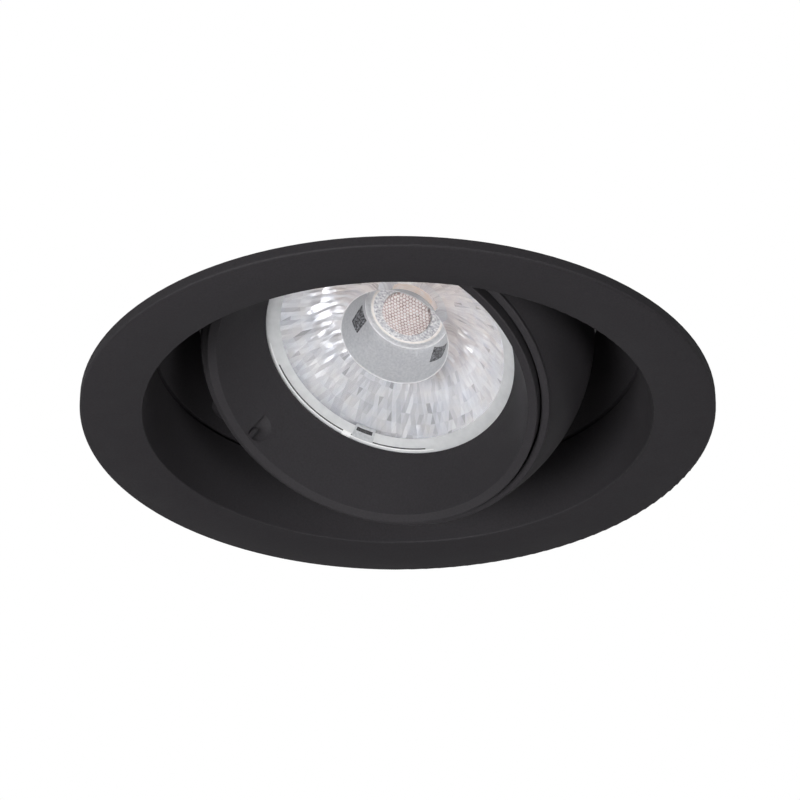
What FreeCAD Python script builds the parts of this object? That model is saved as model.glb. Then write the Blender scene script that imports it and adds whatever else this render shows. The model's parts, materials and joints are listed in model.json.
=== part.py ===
"""Recessed soffit downlight with a swivelling, tilting eyeball head.

Millimetres, +Z up into the soffit. The origin is the centre of the flange's back face, where
the flange meets the underside of the soffit board. The light shines down, towards -Z.

Three frames are used:
  soffit frame   the trim ring, its spring clips and the retaining tabs
  swivel frame   the swivel ring; local +X is the tilt axis, local +Y the side the head tilts to
  head frame     the eyeball and what it holds; origin at the ball's centre, -Z out of the lens
"""
import FreeCAD, Part
import math
import os

V = FreeCAD.Vector
X_AXIS, Y_AXIS, Z_AXIS = V(1, 0, 0), V(0, 1, 0), V(0, 0, 1)
CORNER = 1 - math.sqrt(0.5)  # share of a rounding's radius that its middle stands in by

# ---- driving dimensions -------------------------------------------------------------------

# Eyeball: the ball sets the size of the ring, the collar and the flange round it
BALL_R = 53.5
BEZEL_DROP = 0.7            # bezel below the flange's back when the head looks straight down
RIM_H = 23.3                # front rim of the shell, ahead of the ball's centre
RIM_LIP = 2.26              # width of that rim
RIM_PROUD = 0.5             # how far the rim stands out of the ball
RIM_SOFT = 0.45             # rounding of its two edges
SHELL_BACK = 32.0           # back edge, behind the ball's centre
SHELL_CAST = 2.8            # thickness of the casting
SHELL_WALL = 2.4            # round the heatsink, at the back edge
SHELF_INSET = 2.0           # shelf that the heatsink bolts to, below the back edge
SHELF_T = 4.0
SHELF_W = 9.5

# Swivel ring: floor on the collar's seat, funnel up to the ball, guide wall in the socket
THROAT_GAP = 1.3            # between the ball and the throat
THROAT_RISE = 4.4           # throat's lower edge above the ball's centre
THROAT_LAND = 4.5           # height of the throat's upright band
FUNNEL_RUN = 10.8           # from the throat out to the funnel's lower edge
FUNNEL_WALL = 2.0
RING_FLOOR = 2.6
GUIDE_WALL = 2.0
GUIDE_DROP = 0.4            # guide wall's top below the collar's
SWIVEL_HEADING = 142.5      # where the tilt axis points at rest, from +X
SWIVEL_FIT = 0.2            # radial clearance in the socket
SEAT_FIT = 0.15             # axial clearance on the seat
RIB_COUNT = 12
RIB_T = 1.4
RIB_DROP = 3.0              # rib's top below the throat's
RIB_FOOT = 7.0              # rib's height at the guide wall
ROOT = 1.0                  # how far ribs and pegs run into what carries them

# Trim ring: flange, drafted collar and the socket that the swivel ring turns in
SEAT_STEP = 0.6             # seat's edge outside the funnel's lower edge
SEAT_W = 4.6
SEAM_GAP = 0.8              # step that opens a dark seam below the swivel ring
SEAM_DEPTH = 1.2
SEAT_DROP = 6.6             # seat below the tilt axis
SOCKET_WALL = 1.6
COLLAR_DRAFT = 2.1          # how much the collar opens from the seat down to the flange
COLLAR_WALL = 2.3
FLANGE_LIP = 16.7           # width of the flange; it makes the light 170 mm across
FLANGE_EDGE = 3.0           # thickness at the rounded outer edge
FLANGE_CROWN = 0.65         # how far the face swells below its outer edge
FLANGE_INNER_DROP = 3.1     # depth of the opening's edge below the soffit
EDGE_ROUND = 0.6
MOUTH_ROUND = 0.4           # rounding of the opening's edge

# Foam gasket let into the flange's back
GASKET_INSET = 2.0          # from the flange's outer edge
GASKET_W = 6.8
GASKET_T = 1.2

# Tilt pivots
REST_TILT = 28.0            # as it hangs at rest
MAX_TILT = 30.0
PIVOT_BORE_R = 2.0
PIVOT_FIT = 0.05            # radial running clearance of the shoulder screw
PIVOT_FLAT = 0.5            # depth of the washer's flat on the ball
PIVOT_SHOULDER = 0.5        # step from the screw's shoulder down to its thread
PIVOT_THREAD_L = 6.5
PIVOT_HOLE_L = 7.0          # depth of the threaded hole
PIVOT_CORE_WALL = 4.5       # metal round that hole
WASHER_T = 2.0
WASHER_INSET = 0.3          # washer's edge inside the boss's
EAR_R = 5.2                 # boss on the swivel ring
EAR_T = 7.2
EAR_FLAT_MARGIN = 0.4       # flat on the ball, wider than the boss
SCREW_HEAD_STEP = 1.5       # head's radius beyond the bore's
SCREW_HEAD_H = 2.1
SIDE_PLAY = 0.2             # axial play of the washer and of the screw's head
STOP_ARM = 9.0              # tilt stop peg, from the tilt axis
STOP_PEG_R = 1.2
STOP_PLAY = 0.25
STOP_GROOVE_DEPTH = 1.7

# Twist-lock snoot: bezel ring and anti-glare cone in one
MOUTH_GAP = 0.4             # dark groove round the bezel
BEZEL_PROUD = 2.5           # bezel's outer edge, ahead of the shell's rim
BEZEL_FALL = 0.55           # bezel's face slopes in by this much
BEZEL_W = 2.6
BEZEL_SOFT = 0.35           # rounding of its outer edge
CONE_TAPER = 8.4            # how much the cone narrows towards the lens
CONE_DEPTH = 17.05
CONE_WALL = 2.0             # measured square to the head's axis
SKIRT_WALL = 1.8
SKIRT_LENGTH = 14.8         # from the bezel's outer edge back
BAYONET_COUNT = 3
BAYONET_FIRST = 60.0        # heading of the first peg
BAYONET_INSET = 4.0         # peg's middle ahead of the skirt's back edge
PEG_R = 1.2
PEG_REACH = 1.2             # how far a peg passes into the skirt
PEG_PLAY = 0.25
TWIST = 18.0                # degrees from locked to free
NOTCH_BALL_R = 6.5          # scoop for a fingernail
NOTCH_DEPTH = 1.25
NOTCH_INSET = 4.1           # scoop's middle behind the bezel's inner edge
NOTCH_LAND = 0.35           # ledge left between the scoop and the bezel
NOTCH_SIDE = 1.5            # scoop's middle beside its steep wall
NOTCH_WALL_AT = 0.45        # steep wall beside the tilt axis
NOTCH_RIB_R = 0.85          # rounded rib in the scoop, next to the bezel
NOTCH_RIB_L = 2.8
NOTCH_RIB_AT = 1.9          # rib beside the tilt axis
NOTCH_RIB_PROUD = 0.25

# Optic
LENS_TUCK = 1.5             # lens rim hidden behind the cone's lip
LENS_RIM_T = 2.5
LENS_FRONT_GAP = 0.15
FROST_W = 3.1               # frosted rim, from the lens's edge inwards
DISH_DEPTH = 5.05           # lens face, from its rim to the well's mouth
DISH_SHARE = 0.36           # how much of that lies inside its middle radius
WELL_FLOOR_R = 12.0         # tapered well in the middle of the lens
WELL_DRAFT = 3.0
WELL_DEPTH = 12.0
WELL_DOME = 0.5             # rise of the well's floor towards the middle
OPTIC_GAP = 2.8             # from the optic's back end to the clamp
POCKET_WALL = 2.9           # optic's wall round the pocket for the emitter
POCKET_GAP = 0.6            # pocket's mouth outside the emitter
POCKET_DRAFT = 0.6
POCKET_DEPTH = 11.0
POCKET_DOME = 1.5
CENTRE_FLAT = 1.5           # small flat where a dome meets the axis
SEAL_T = 1.0
SEAL_W = 1.8

# Lens holder and light engine
HOLDER_WALL = 1.6
HOLDER_GAP = 0.35
HOLDER_RIM_DROP = 0.4       # holder's front edge behind the lens's face
HOLDER_SHELF_H = 4.0        # height of the step that carries the seal
HOLDER_STEP_T = 1.2
HOLDER_WAIST = 9.0          # waist above the foot
HOLDER_FOOT_T = 2.0
HOLDER_FOOT_GAP = 2.4       # foot inside the shell's shelf
HOLDER_FOOT_LIP = 1.5       # foot's flange, inwards
PAD_T = 0.5
PAD_INSET = 0.5
CARRIER_T = 1.2
CARRIER_SIDE = 22.0
EMITTER_R = 8.0
EMITTER_T = 0.5
EMITTER_DOME = 0.15
DAM_W = 0.8
CLAMP_T = 3.2
CLAMP_WINDOW_GAP = 1.2      # window outside the emitter
CLAMP_BEVEL = 1.0
CLAMP_SCREW_OUT = 6.0       # screws outside the board's edge
CLAMP_SCREW_EDGE = 3.5      # clamp's edge outside its screws

# Heatsink
SINK_T = 3.0
SINK_FIT = 0.3
FIN_COUNT = 24
FIN_T = 1.6
FIN_H = 27.0                # above the base
FIN_SLOT = 1.0              # depth of the slots that the fins are pressed into
FIN_INSET = 2.2             # fins inside the base's edge
FIN_CROWN = 9.0             # height over which the fins draw in
FIN_DRAW = 7.0              # and by how much
HUB_R = 13.0
HUB_H = 21.0
SINK_SCREW_COUNT = 3
M3_R = 1.5
M3_HOLE_R = 1.65
M3_HEAD_R = 2.75
M3_HEAD_H = 2.0
M3_LOW_HEAD_R = 2.35        # low heads on the clamp
M3_LOW_HEAD_H = 1.6

# Cable gland
GLAND_BORE_R = 3.6          # for a cable up to 7 mm
GLAND_SEAL_WALL = 1.0
GLAND_SPIGOT_WALL = 1.4
GLAND_BOSS_WALL = 2.6
GLAND_INSET = 14.0          # gland's axis inside the fins' outer edge
GLAND_BOSS_H = 13.0
GLAND_ROOM = 3.0            # clear space round the boss, cut out of the fins
GLAND_SPIGOT_L = 7.5
GLAND_FLAT_STEP = 1.5       # hexagon's flats outside the thread
GLAND_HEX_H = 4.0
GLAND_NUT_H = 11.0
GLAND_NUT_THREAD = 0.65     # share of the nut's height that is threaded
GLAND_SQUEEZE = 0.1         # sleeve's bore inside the nut's
WIRE_HOLE_R = 2.5

# Spring clips
CLIP_COUNT = 3
CLIP_FIRST = 90.0           # heading of the first clip
CLIP_PAD_PROUD = 0.4        # flat on the collar, outside the socket's wall
CLIP_PAD_EDGE = 1.0         # pad's margin round the bracket
BRACKET_T = 1.0
BRACKET_W = 18.0
BRACKET_LOW = 10.0
BRACKET_DROP = 2.5          # bracket's top below the collar's
BRACKET_CORNER = 2.0
PIN_DROP = 7.5              # hinge pin below the bracket's top
PIN_R = 1.0
PIN_FIT = 0.05
PIN_HEAD_H = 0.7
EYE_WALL = 0.7              # wall of the arm's rolled eye
EYE_GAP = 0.2               # eye clear of the bracket's plate
EYE_LEN = 2.2
ARM_T = 1.0
ARM_SIDE_GAP = 0.3          # arm clear of the bracket's ears
ARM_TAPER = 4.4             # how much the arm narrows towards its tip
ARM_SHOULDER = 4.0          # straight part before the taper
ARM_REACH = 26.5            # from the pin to the bead at the tip
ARM_RIB_R = 0.9
ARM_RIB_ENDS = 6.0          # arm left plain beyond the rib's ends
BEAD_R = 1.6
BEAD_LIFT = 2.7             # bead above the flange's back, with the arm on its stop
WIRE_R = 0.3
COIL_TURNS = 8
COIL_GROOVE = 0.12          # depth of the groove between two turns
SPRING_LEG_UP = 5.5         # leg along the bracket
SPRING_LEG_ON = 3.0         # leg's length on the arm's blade
RIVET_R = 1.2
RIVET_HEAD_STEP = 0.7
RIVET_HEAD_H = 0.8
RIVET_INSET = 2.6
RIVET_SKIN = 0.4            # metal left between a blind rivet hole and the socket

# Retaining tabs and the swivel stop
TAB_T = 1.0
TAB_W = 8.0
TAB_HOLD = 1.6              # how far a tab reaches over the guide wall
TAB_HEADINGS = (30.0, 150.0, 270.0)
STOP_HEADING = 0.0
STOP_FINGER_W = 2.4
STOP_FINGER_OVER = 1.9      # finger's tip inside the guide wall
STOP_LUG_W = 3.0
STOP_LUG_DEPTH = 2.4
TAB_BOSS_OUT = 2.8          # screws outside the socket's bore
TAB_BOSS_WALL = 2.2
TAB_BOSS_H = 15.0
TAB_SCREW_R = 1.2
TAB_SCREW_HEAD_STEP = 1.0
TAB_SCREW_HEAD_H = 1.5
SCREW_LENGTH = 8.0
SCREW_TIP_ROOM = 1.0
SCREW_FIT = 0.05

# ---- derived values -----------------------------------------------------------------------

# Radii, from the ball outwards
THROAT_R = BALL_R + THROAT_GAP
FUNNEL_IN_R = THROAT_R + FUNNEL_RUN
SEAT_R = FUNNEL_IN_R + SEAT_STEP
SOCKET_R = SEAT_R + SEAT_W
SOCKET_OUT_R = SOCKET_R + SOCKET_WALL
RING_R = SOCKET_R - SWIVEL_FIT
GUIDE_IN_R = RING_R - GUIDE_WALL
MOUTH_R = SEAT_R + COLLAR_DRAFT
COLLAR_OUT_R = MOUTH_R + COLLAR_WALL
FLANGE_R = MOUTH_R + FLANGE_LIP
GASKET_OUT_R = FLANGE_R - GASKET_INSET
GASKET_IN_R = GASKET_OUT_R - GASKET_W

# Distances ahead of the ball's centre (H) and behind it, along the head's axis
BEZEL_OUT_H = RIM_H + BEZEL_PROUD
BEZEL_IN_H = BEZEL_OUT_H - BEZEL_FALL
SKIRT_BACK_H = BEZEL_OUT_H - SKIRT_LENGTH
BAYONET_H = SKIRT_BACK_H + BAYONET_INSET
NOTCH_H = BEZEL_IN_H - NOTCH_INSET
CONE_LIP_H = BEZEL_IN_H - CONE_DEPTH
LENS_FRONT_H = CONE_LIP_H - LENS_FRONT_GAP
LENS_RIM_BACK_H = LENS_FRONT_H - LENS_RIM_T
WELL_MOUTH_H = LENS_FRONT_H - DISH_DEPTH
WELL_FLOOR_H = WELL_MOUTH_H - WELL_DEPTH
REAR_SHELF = SHELL_BACK - SHELF_INSET
SINK_BACK = REAR_SHELF + SINK_T
FIN_TOP = SINK_BACK + FIN_H
HUB_TOP = SINK_BACK + HUB_H
GLAND_BOSS_TOP = SINK_BACK + GLAND_BOSS_H
CARRIER_FRONT = REAR_SHELF - PAD_T - CARRIER_T
OPTIC_BACK_H = CLAMP_T + OPTIC_GAP - REAR_SHELF

# Heights in the soffit frame
BALL_Z = BEZEL_OUT_H - BEZEL_DROP
SEAT_Z = BALL_Z - SEAT_DROP
THROAT_Z = BALL_Z + THROAT_RISE
THROAT_TOP = THROAT_Z + THROAT_LAND
SOCKET_TOP = THROAT_TOP
GUIDE_TOP = SOCKET_TOP - GUIDE_DROP
RING_BASE = SEAT_Z + SEAT_FIT
BRACKET_TOP = SOCKET_TOP - BRACKET_DROP
PIN_Z = BRACKET_TOP - PIN_DROP
TAB_BOSS_BASE = SOCKET_TOP - TAB_BOSS_H

# Radii inside the head
RIM_R = math.sqrt(BALL_R ** 2 - RIM_H ** 2) + RIM_PROUD
SHELL_MOUTH_R = RIM_R - RIM_LIP
SHELL_SOCKET_R = math.sqrt(BALL_R ** 2 - SHELL_BACK ** 2) - SHELL_WALL
SHELF_IN_R = SHELL_SOCKET_R - SHELF_W
BEZEL_R = SHELL_MOUTH_R - MOUTH_GAP
SKIRT_IN_R = BEZEL_R - SKIRT_WALL
CONE_MOUTH_R = BEZEL_R - BEZEL_W
CONE_LIP_R = CONE_MOUTH_R - CONE_TAPER
LENS_R = CONE_LIP_R + LENS_TUCK
LENS_FACE_R = LENS_R - FROST_W
OPTIC_SHOULDER_R = LENS_R - SEAL_W - HOLDER_GAP
WELL_MOUTH_R = WELL_FLOOR_R + WELL_DRAFT
LED_POCKET_R = EMITTER_R + POCKET_GAP
OPTIC_BACK_R = LED_POCKET_R + POCKET_WALL
HOLDER_FOOT_R = SHELF_IN_R - HOLDER_FOOT_GAP
CLAMP_SCREW_AT = CARRIER_SIDE / 2 + CLAMP_SCREW_OUT
CLAMP_R = CLAMP_SCREW_AT + CLAMP_SCREW_EDGE
SINK_R = SHELL_SOCKET_R - SINK_FIT
SINK_SCREW_AT = (SHELL_SOCKET_R + SHELF_IN_R) / 2
FIN_R = SINK_R - FIN_INSET
FIN_CROWN_R = FIN_R - FIN_DRAW
GLAND_SEAL_R = GLAND_BORE_R + GLAND_SEAL_WALL
GLAND_THREAD_R = GLAND_SEAL_R + GLAND_SPIGOT_WALL
GLAND_BOSS_R = GLAND_THREAD_R + GLAND_BOSS_WALL
GLAND_FLAT_R = GLAND_THREAD_R + GLAND_FLAT_STEP
GLAND_Y = GLAND_INSET - FIN_R

# Tilt pivot, along the tilt axis from the ball's centre
PIVOT_FACE = BALL_R - PIVOT_FLAT
PIVOT_THREAD_R = PIVOT_BORE_R - PIVOT_SHOULDER
PIVOT_CORE_R = PIVOT_THREAD_R + PIVOT_CORE_WALL
EAR_IN = PIVOT_FACE + WASHER_T + SIDE_PLAY
EAR_OUT = EAR_IN + EAR_T
SCREW_HEAD_R = PIVOT_BORE_R + SCREW_HEAD_STEP
STOP_GROOVE_FLOOR = math.sqrt(BALL_R ** 2 - STOP_ARM ** 2) - STOP_GROOVE_DEPTH
STOP_PEG_IN = STOP_GROOVE_FLOOR + STOP_PLAY

# Clips and tabs on the collar
CLIP_PAD_FACE = SOCKET_OUT_R + CLIP_PAD_PROUD
BRACKET_FACE = CLIP_PAD_FACE + BRACKET_T
EYE_R = PIN_R + EYE_WALL
PIN_REACH = BRACKET_FACE + EYE_R + EYE_GAP
PIN_HEAD_R = EYE_R - EYE_GAP
COIL_R = PIN_R + PIN_FIT + WIRE_R
ARM_W = BRACKET_W - 2 * BRACKET_T - 2 * ARM_SIDE_GAP
ARM_TIP_W = ARM_W - ARM_TAPER
ARM_DROP = math.degrees(math.asin((PIN_Z - BEAD_R - BEAD_LIFT) / ARM_REACH))
BLADE_FROM = EYE_R + 2 * COIL_R
TAB_BOSS_AT = SOCKET_R + TAB_BOSS_OUT
TAB_BOSS_R = TAB_SCREW_R + TAB_BOSS_WALL
TAB_IN_R = RING_R - TAB_HOLD
STOP_FINGER_IN_R = GUIDE_IN_R - STOP_FINGER_OVER

HEAD_TO_SWIVEL = FreeCAD.Placement(V(0, 0, BALL_Z), FreeCAD.Rotation(X_AXIS, REST_TILT))
SWIVEL_TO_SOFFIT = FreeCAD.Placement(V(0, 0, 0), FreeCAD.Rotation(Z_AXIS, SWIVEL_HEADING))
HEAD_TO_SOFFIT = SWIVEL_TO_SOFFIT.multiply(HEAD_TO_SWIVEL)

PARTS = {}


# ---- small helpers ------------------------------------------------------------------------

def keep(name, shape, placement=None):
    """Stores one sub-part, moved from its own frame to the soffit frame."""
    shape = shape.copy()
    if placement is not None:
        shape.Placement = placement.multiply(shape.Placement)
    PARTS[name] = shape


def outline(*stops):
    """A closed face in the XZ plane. A stop is a point (r, z), or an arc ((via), (end))."""
    def at(point):
        return V(point[0], 0, point[1])

    edges, here = [], stops[0]
    for stop in stops[1:] + (stops[0],):
        if isinstance(stop[0], tuple):
            via, end = stop
            edges.append(Part.Arc(at(here), at(via), at(end)).toShape())
            here = end
        elif at(stop).distanceToPoint(at(here)) > 1e-6:
            edges.append(Part.makeLine(at(here), at(stop)))
            here = stop
    return Part.Face(Part.Wire(edges))


def lathe(*stops):
    """The outline turned all the way round the Z axis."""
    return outline(*stops).revolve(V(0, 0, 0), Z_AXIS, 360)


def tube(outer, inner, low, high):
    return lathe((inner, low), (outer, low), (outer, high), (inner, high))


def rod(radius, start, axis, length):
    return Part.makeCylinder(radius, length, start, axis)


def block(x, y, z):
    """A box from three (low, high) pairs."""
    return Part.makeBox(x[1] - x[0], y[1] - y[0], z[1] - z[0], V(x[0], y[0], z[0]))


def around(shape, heading):
    """The shape turned about the Z axis by heading degrees."""
    turned = shape.copy()
    turned.rotate(V(0, 0, 0), Z_AXIS, heading)
    return turned


def evenly(shape, count, first=0.0):
    return [around(shape, first + 360.0 * i / count) for i in range(count)]


def fused(first, *others):
    return first.fuse(list(others)).removeSplitter() if others else first


def ball_radius_at(height):
    """Radius of the ball's section at a height from its centre."""
    return math.sqrt(BALL_R ** 2 - height ** 2)


def clip_headings():
    return [CLIP_FIRST + 360.0 * i / CLIP_COUNT for i in range(CLIP_COUNT)]


# ---- trim ring: flange, collar, socket ----------------------------------------------------

def trim_body():
    """Crowned flange, drafted collar and the socket above it, turned in one profile."""
    face_mid = (MOUTH_R + FLANGE_R) / 2
    crest = -(FLANGE_EDGE + FLANGE_CROWN)
    knee = EDGE_ROUND * CORNER
    lip = MOUTH_ROUND * CORNER
    return lathe(
        (MOUTH_R, MOUTH_ROUND - FLANGE_INNER_DROP),
        ((MOUTH_R + lip, lip - FLANGE_INNER_DROP), (MOUTH_R + MOUTH_ROUND, -FLANGE_INNER_DROP)),
        ((face_mid, crest), (FLANGE_R - EDGE_ROUND, -FLANGE_EDGE)),
        ((FLANGE_R - knee, -FLANGE_EDGE + knee), (FLANGE_R, -FLANGE_EDGE + EDGE_ROUND)),
        (FLANGE_R, 0),
        (COLLAR_OUT_R, 0),
        (COLLAR_OUT_R, SEAT_Z - 2 * COLLAR_WALL),
        (SOCKET_OUT_R, SEAT_Z),
        (SOCKET_OUT_R, SOCKET_TOP),
        (SOCKET_R, SOCKET_TOP),
        (SOCKET_R, SEAT_Z),
        (SEAT_R + SEAM_DEPTH, SEAT_Z),
        (SEAT_R + SEAM_DEPTH, SEAT_Z - SEAM_GAP),
        (SEAT_R, SEAT_Z - SEAM_GAP),
    )


def bore_with_skin():
    """The socket's bore and a skin of its wall, kept free of pads and bosses."""
    return rod(SOCKET_R + RIVET_SKIN, V(0, 0, 0), Z_AXIS, SOCKET_TOP)


def clip_pad():
    """Flat on the collar's side that a clip bracket is riveted to."""
    half = BRACKET_W / 2 + CLIP_PAD_EDGE
    inner = math.sqrt(SOCKET_R ** 2 - half ** 2)
    pad = block((inner, CLIP_PAD_FACE), (-half, half), (BRACKET_LOW - CLIP_PAD_EDGE, SOCKET_TOP))
    return pad.cut(bore_with_skin())


def rivet_heights():
    return (BRACKET_LOW + RIVET_INSET, BRACKET_TOP - RIVET_INSET)


def rivet_hole(depth_from):
    start = CLIP_PAD_FACE - depth_from
    return [rod(RIVET_R + SCREW_FIT, V(start, 0, z), X_AXIS, depth_from + 2 * BRACKET_T)
            for z in rivet_heights()]


def rivet_depth():
    return CLIP_PAD_FACE - SOCKET_R - RIVET_SKIN


def tab_boss():
    """Screw boss on the collar's outside for a retaining tab, drawn in at its foot."""
    boss = rod(TAB_BOSS_R, V(TAB_BOSS_AT, 0, TAB_BOSS_BASE), Z_AXIS, TAB_BOSS_H)
    foot = Part.makeCone(TAB_BOSS_R / 2, TAB_BOSS_R, TAB_BOSS_R,
                         V(TAB_BOSS_AT, 0, TAB_BOSS_BASE - TAB_BOSS_R), Z_AXIS)
    return fused(boss, foot).cut(bore_with_skin())


def tab_screw_hole():
    deep = SCREW_LENGTH + SCREW_TIP_ROOM
    return rod(TAB_SCREW_R + SCREW_FIT, V(TAB_BOSS_AT, 0, SOCKET_TOP - deep), Z_AXIS, deep)


def trim_ring():
    bosses = [around(tab_boss(), h) for h in TAB_HEADINGS + (STOP_HEADING,)]
    pads = [around(clip_pad(), h) for h in clip_headings()]
    body = fused(trim_body(), *bosses, *pads)
    holes = [around(tab_screw_hole(), h) for h in TAB_HEADINGS + (STOP_HEADING,)]
    for heading in clip_headings():
        holes += [around(hole, heading) for hole in rivet_hole(rivet_depth())]
    groove = tube(GASKET_OUT_R, GASKET_IN_R, -GASKET_T, GASKET_T)
    return body.cut(holes + [groove])


def ceiling_gasket():
    """Foam ring, flush with the flange's back when the light is pulled up tight."""
    return tube(GASKET_OUT_R - SCREW_FIT, GASKET_IN_R + SCREW_FIT, -GASKET_T, 0)


# ---- spring clips -------------------------------------------------------------------------

def clip_bracket():
    """Folded sheet bracket: a plate on the collar and two ears that carry the pin."""
    half = BRACKET_W / 2
    plate = block((CLIP_PAD_FACE, BRACKET_FACE), (-half, half), (BRACKET_LOW, BRACKET_TOP))
    corners = [e for e in plate.Edges if abs(e.tangentAt(e.FirstParameter).x) > 0.9]
    plate = plate.makeFillet(BRACKET_CORNER, corners)
    ears = []
    for side in (-half, half - BRACKET_T):
        cheek = block((CLIP_PAD_FACE, PIN_REACH), (side, side + BRACKET_T),
                      (PIN_Z - 2 * EYE_R, PIN_Z + EYE_R))
        nose = rod(EYE_R, V(PIN_REACH, side, PIN_Z), Y_AXIS, BRACKET_T)
        ears.append(cheek.fuse(nose))
    hole = rod(PIN_R + PIN_FIT / 2, V(PIN_REACH, -half, PIN_Z), Y_AXIS, BRACKET_W)
    return fused(plate, *ears).cut([hole] + rivet_hole(0.0))


def clip_pin():
    """Hinge pin with a small head at each end, outside the ears."""
    reach = BRACKET_W / 2 + SCREW_FIT
    pin = rod(PIN_R, V(PIN_REACH, -reach, PIN_Z), Y_AXIS, 2 * reach)
    heads = [rod(PIN_HEAD_R, V(PIN_REACH, y, PIN_Z), Y_AXIS, PIN_HEAD_H)
             for y in (-reach - PIN_HEAD_H, reach)]
    return fused(pin, *heads)


def clip_arm():
    """Pressed arm: two rolled eyes on the pin, a tapering blade and a rolled bead at the tip."""
    half, tip = ARM_W / 2, ARM_TIP_W / 2
    taper_from = BLADE_FROM + ARM_SHOULDER
    blade_face = Part.Face(Part.makePolygon([
        V(0, -half, 0), V(taper_from, -half, 0), V(ARM_REACH, -tip, 0), V(ARM_REACH, tip, 0),
        V(taper_from, half, 0), V(0, half, 0), V(0, -half, 0)]))
    blade = blade_face.extrude(V(0, 0, ARM_T))
    blade.translate(V(0, 0, -ARM_T / 2))
    spring_window = block((-ARM_T, BLADE_FROM), (EYE_LEN - half, half - EYE_LEN), (-ARM_T, ARM_T))
    eyes = [rod(EYE_R, V(0, y, 0), Y_AXIS, EYE_LEN) for y in (-half, half - EYE_LEN)]
    bead = rod(BEAD_R, V(ARM_REACH, -tip, 0), Y_AXIS, ARM_TIP_W)
    rib_from = BLADE_FROM + ARM_RIB_ENDS / 2
    rib = rod(ARM_RIB_R, V(rib_from, 0, ARM_T / 2), X_AXIS, ARM_REACH - BLADE_FROM - ARM_RIB_ENDS)
    arm = fused(blade.cut(spring_window), *eyes, bead, rib)
    arm = arm.cut(rod(PIN_R + PIN_FIT, V(0, -ARM_W, 0), Y_AXIS, 2 * ARM_W))
    arm.rotate(V(0, 0, 0), Y_AXIS, ARM_DROP)
    arm.translate(V(PIN_REACH, 0, PIN_Z))
    return arm


def clip_spring():
    """Torsion spring: close coils on the pin, one leg up the bracket, one along the arm."""
    pitch = 2 * WIRE_R
    length = COIL_TURNS * pitch
    crest, groove = COIL_R + WIRE_R, COIL_R + WIRE_R - COIL_GROOVE
    stops = [(COIL_R - WIRE_R, -length / 2)]
    for turn in range(COIL_TURNS):
        low = -length / 2 + turn * pitch
        stops += [(groove, low), (crest, low + pitch / 2)]
    stops += [(groove, length / 2), (COIL_R - WIRE_R, length / 2)]
    coil = lathe(*stops)
    coil.rotate(V(0, 0, 0), X_AXIS, 90)
    up = rod(WIRE_R, V(-COIL_R, length / 2 - WIRE_R, 0), Z_AXIS, SPRING_LEG_UP)
    along = rod(WIRE_R, V(0, WIRE_R - length / 2, COIL_R), X_AXIS, BLADE_FROM + SPRING_LEG_ON)
    along.rotate(V(0, 0, 0), Y_AXIS, ARM_DROP)
    spring = fused(coil, up, along)
    spring.translate(V(PIN_REACH, 0, PIN_Z))
    return spring


def bracket_rivets():
    rivets = []
    for heading in clip_headings():
        for z in rivet_heights():
            shank = rod(RIVET_R, V(CLIP_PAD_FACE - rivet_depth(), 0, z), X_AXIS,
                        rivet_depth() + BRACKET_T)
            head = Part.makeCone(RIVET_R + RIVET_HEAD_STEP, RIVET_R, RIVET_HEAD_H,
                                 V(BRACKET_FACE, 0, z), X_AXIS)
            rivets.append(around(fused(shank, head), heading))
    return Part.makeCompound(rivets)


# ---- retaining tabs and the swivel stop ---------------------------------------------------

def tab(inner_r, inner_w):
    """Flat tab on a collar boss, reaching in over the swivel ring's guide wall."""
    half, tip = TAB_W / 2, inner_w / 2
    outline_points = [
        V(inner_r, -tip, 0), V(inner_r, tip, 0), V(SOCKET_R, tip, 0), V(TAB_BOSS_AT, half, 0),
        V(TAB_BOSS_AT, -half, 0), V(SOCKET_R, -tip, 0), V(inner_r, -tip, 0)]
    flat = Part.Face(Part.makePolygon(outline_points)).extrude(V(0, 0, TAB_T))
    heel = rod(TAB_BOSS_R, V(TAB_BOSS_AT, 0, 0), Z_AXIS, TAB_T)
    keep_in = rod(TAB_BOSS_AT + TAB_BOSS_R, V(0, 0, 0), Z_AXIS, TAB_T)
    plate = fused(flat, heel).common(keep_in)
    plate = plate.cut(rod(TAB_SCREW_R + SCREW_FIT, V(TAB_BOSS_AT, 0, -TAB_T), Z_AXIS, 3 * TAB_T))
    plate.translate(V(0, 0, SOCKET_TOP))
    return plate


def pan_screw(shank_r, head_r, head_h, length):
    """Pan-head screw along Z with a cross recess, its seat at the origin, its shank down -Z."""
    crown = head_h / 3
    face_r = head_r / 2
    head = lathe((0, 0), (head_r, 0), (head_r, head_h - crown),
                 ((0.85 * head_r, head_h - crown / 4), (face_r, head_h)), (0, head_h))
    screw = fused(head, rod(shank_r, V(0, 0, -length), Z_AXIS, length))
    reach, half = 0.55 * head_r, 0.22 * head_r
    for x, y in ((reach, half), (half, reach)):
        screw = screw.cut(block((-x, x), (-y, y), (head_h / 2, 2 * head_h)))
    return screw


def retainer_screws():
    screws = []
    for heading in TAB_HEADINGS + (STOP_HEADING,):
        head_r = TAB_SCREW_R + TAB_SCREW_HEAD_STEP
        screw = pan_screw(TAB_SCREW_R, head_r, TAB_SCREW_HEAD_H, SCREW_LENGTH)
        screw.translate(V(TAB_BOSS_AT, 0, SOCKET_TOP + TAB_T))
        screws.append(around(screw, heading))
    return Part.makeCompound(screws)


# ---- swivel ring --------------------------------------------------------------------------

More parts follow.
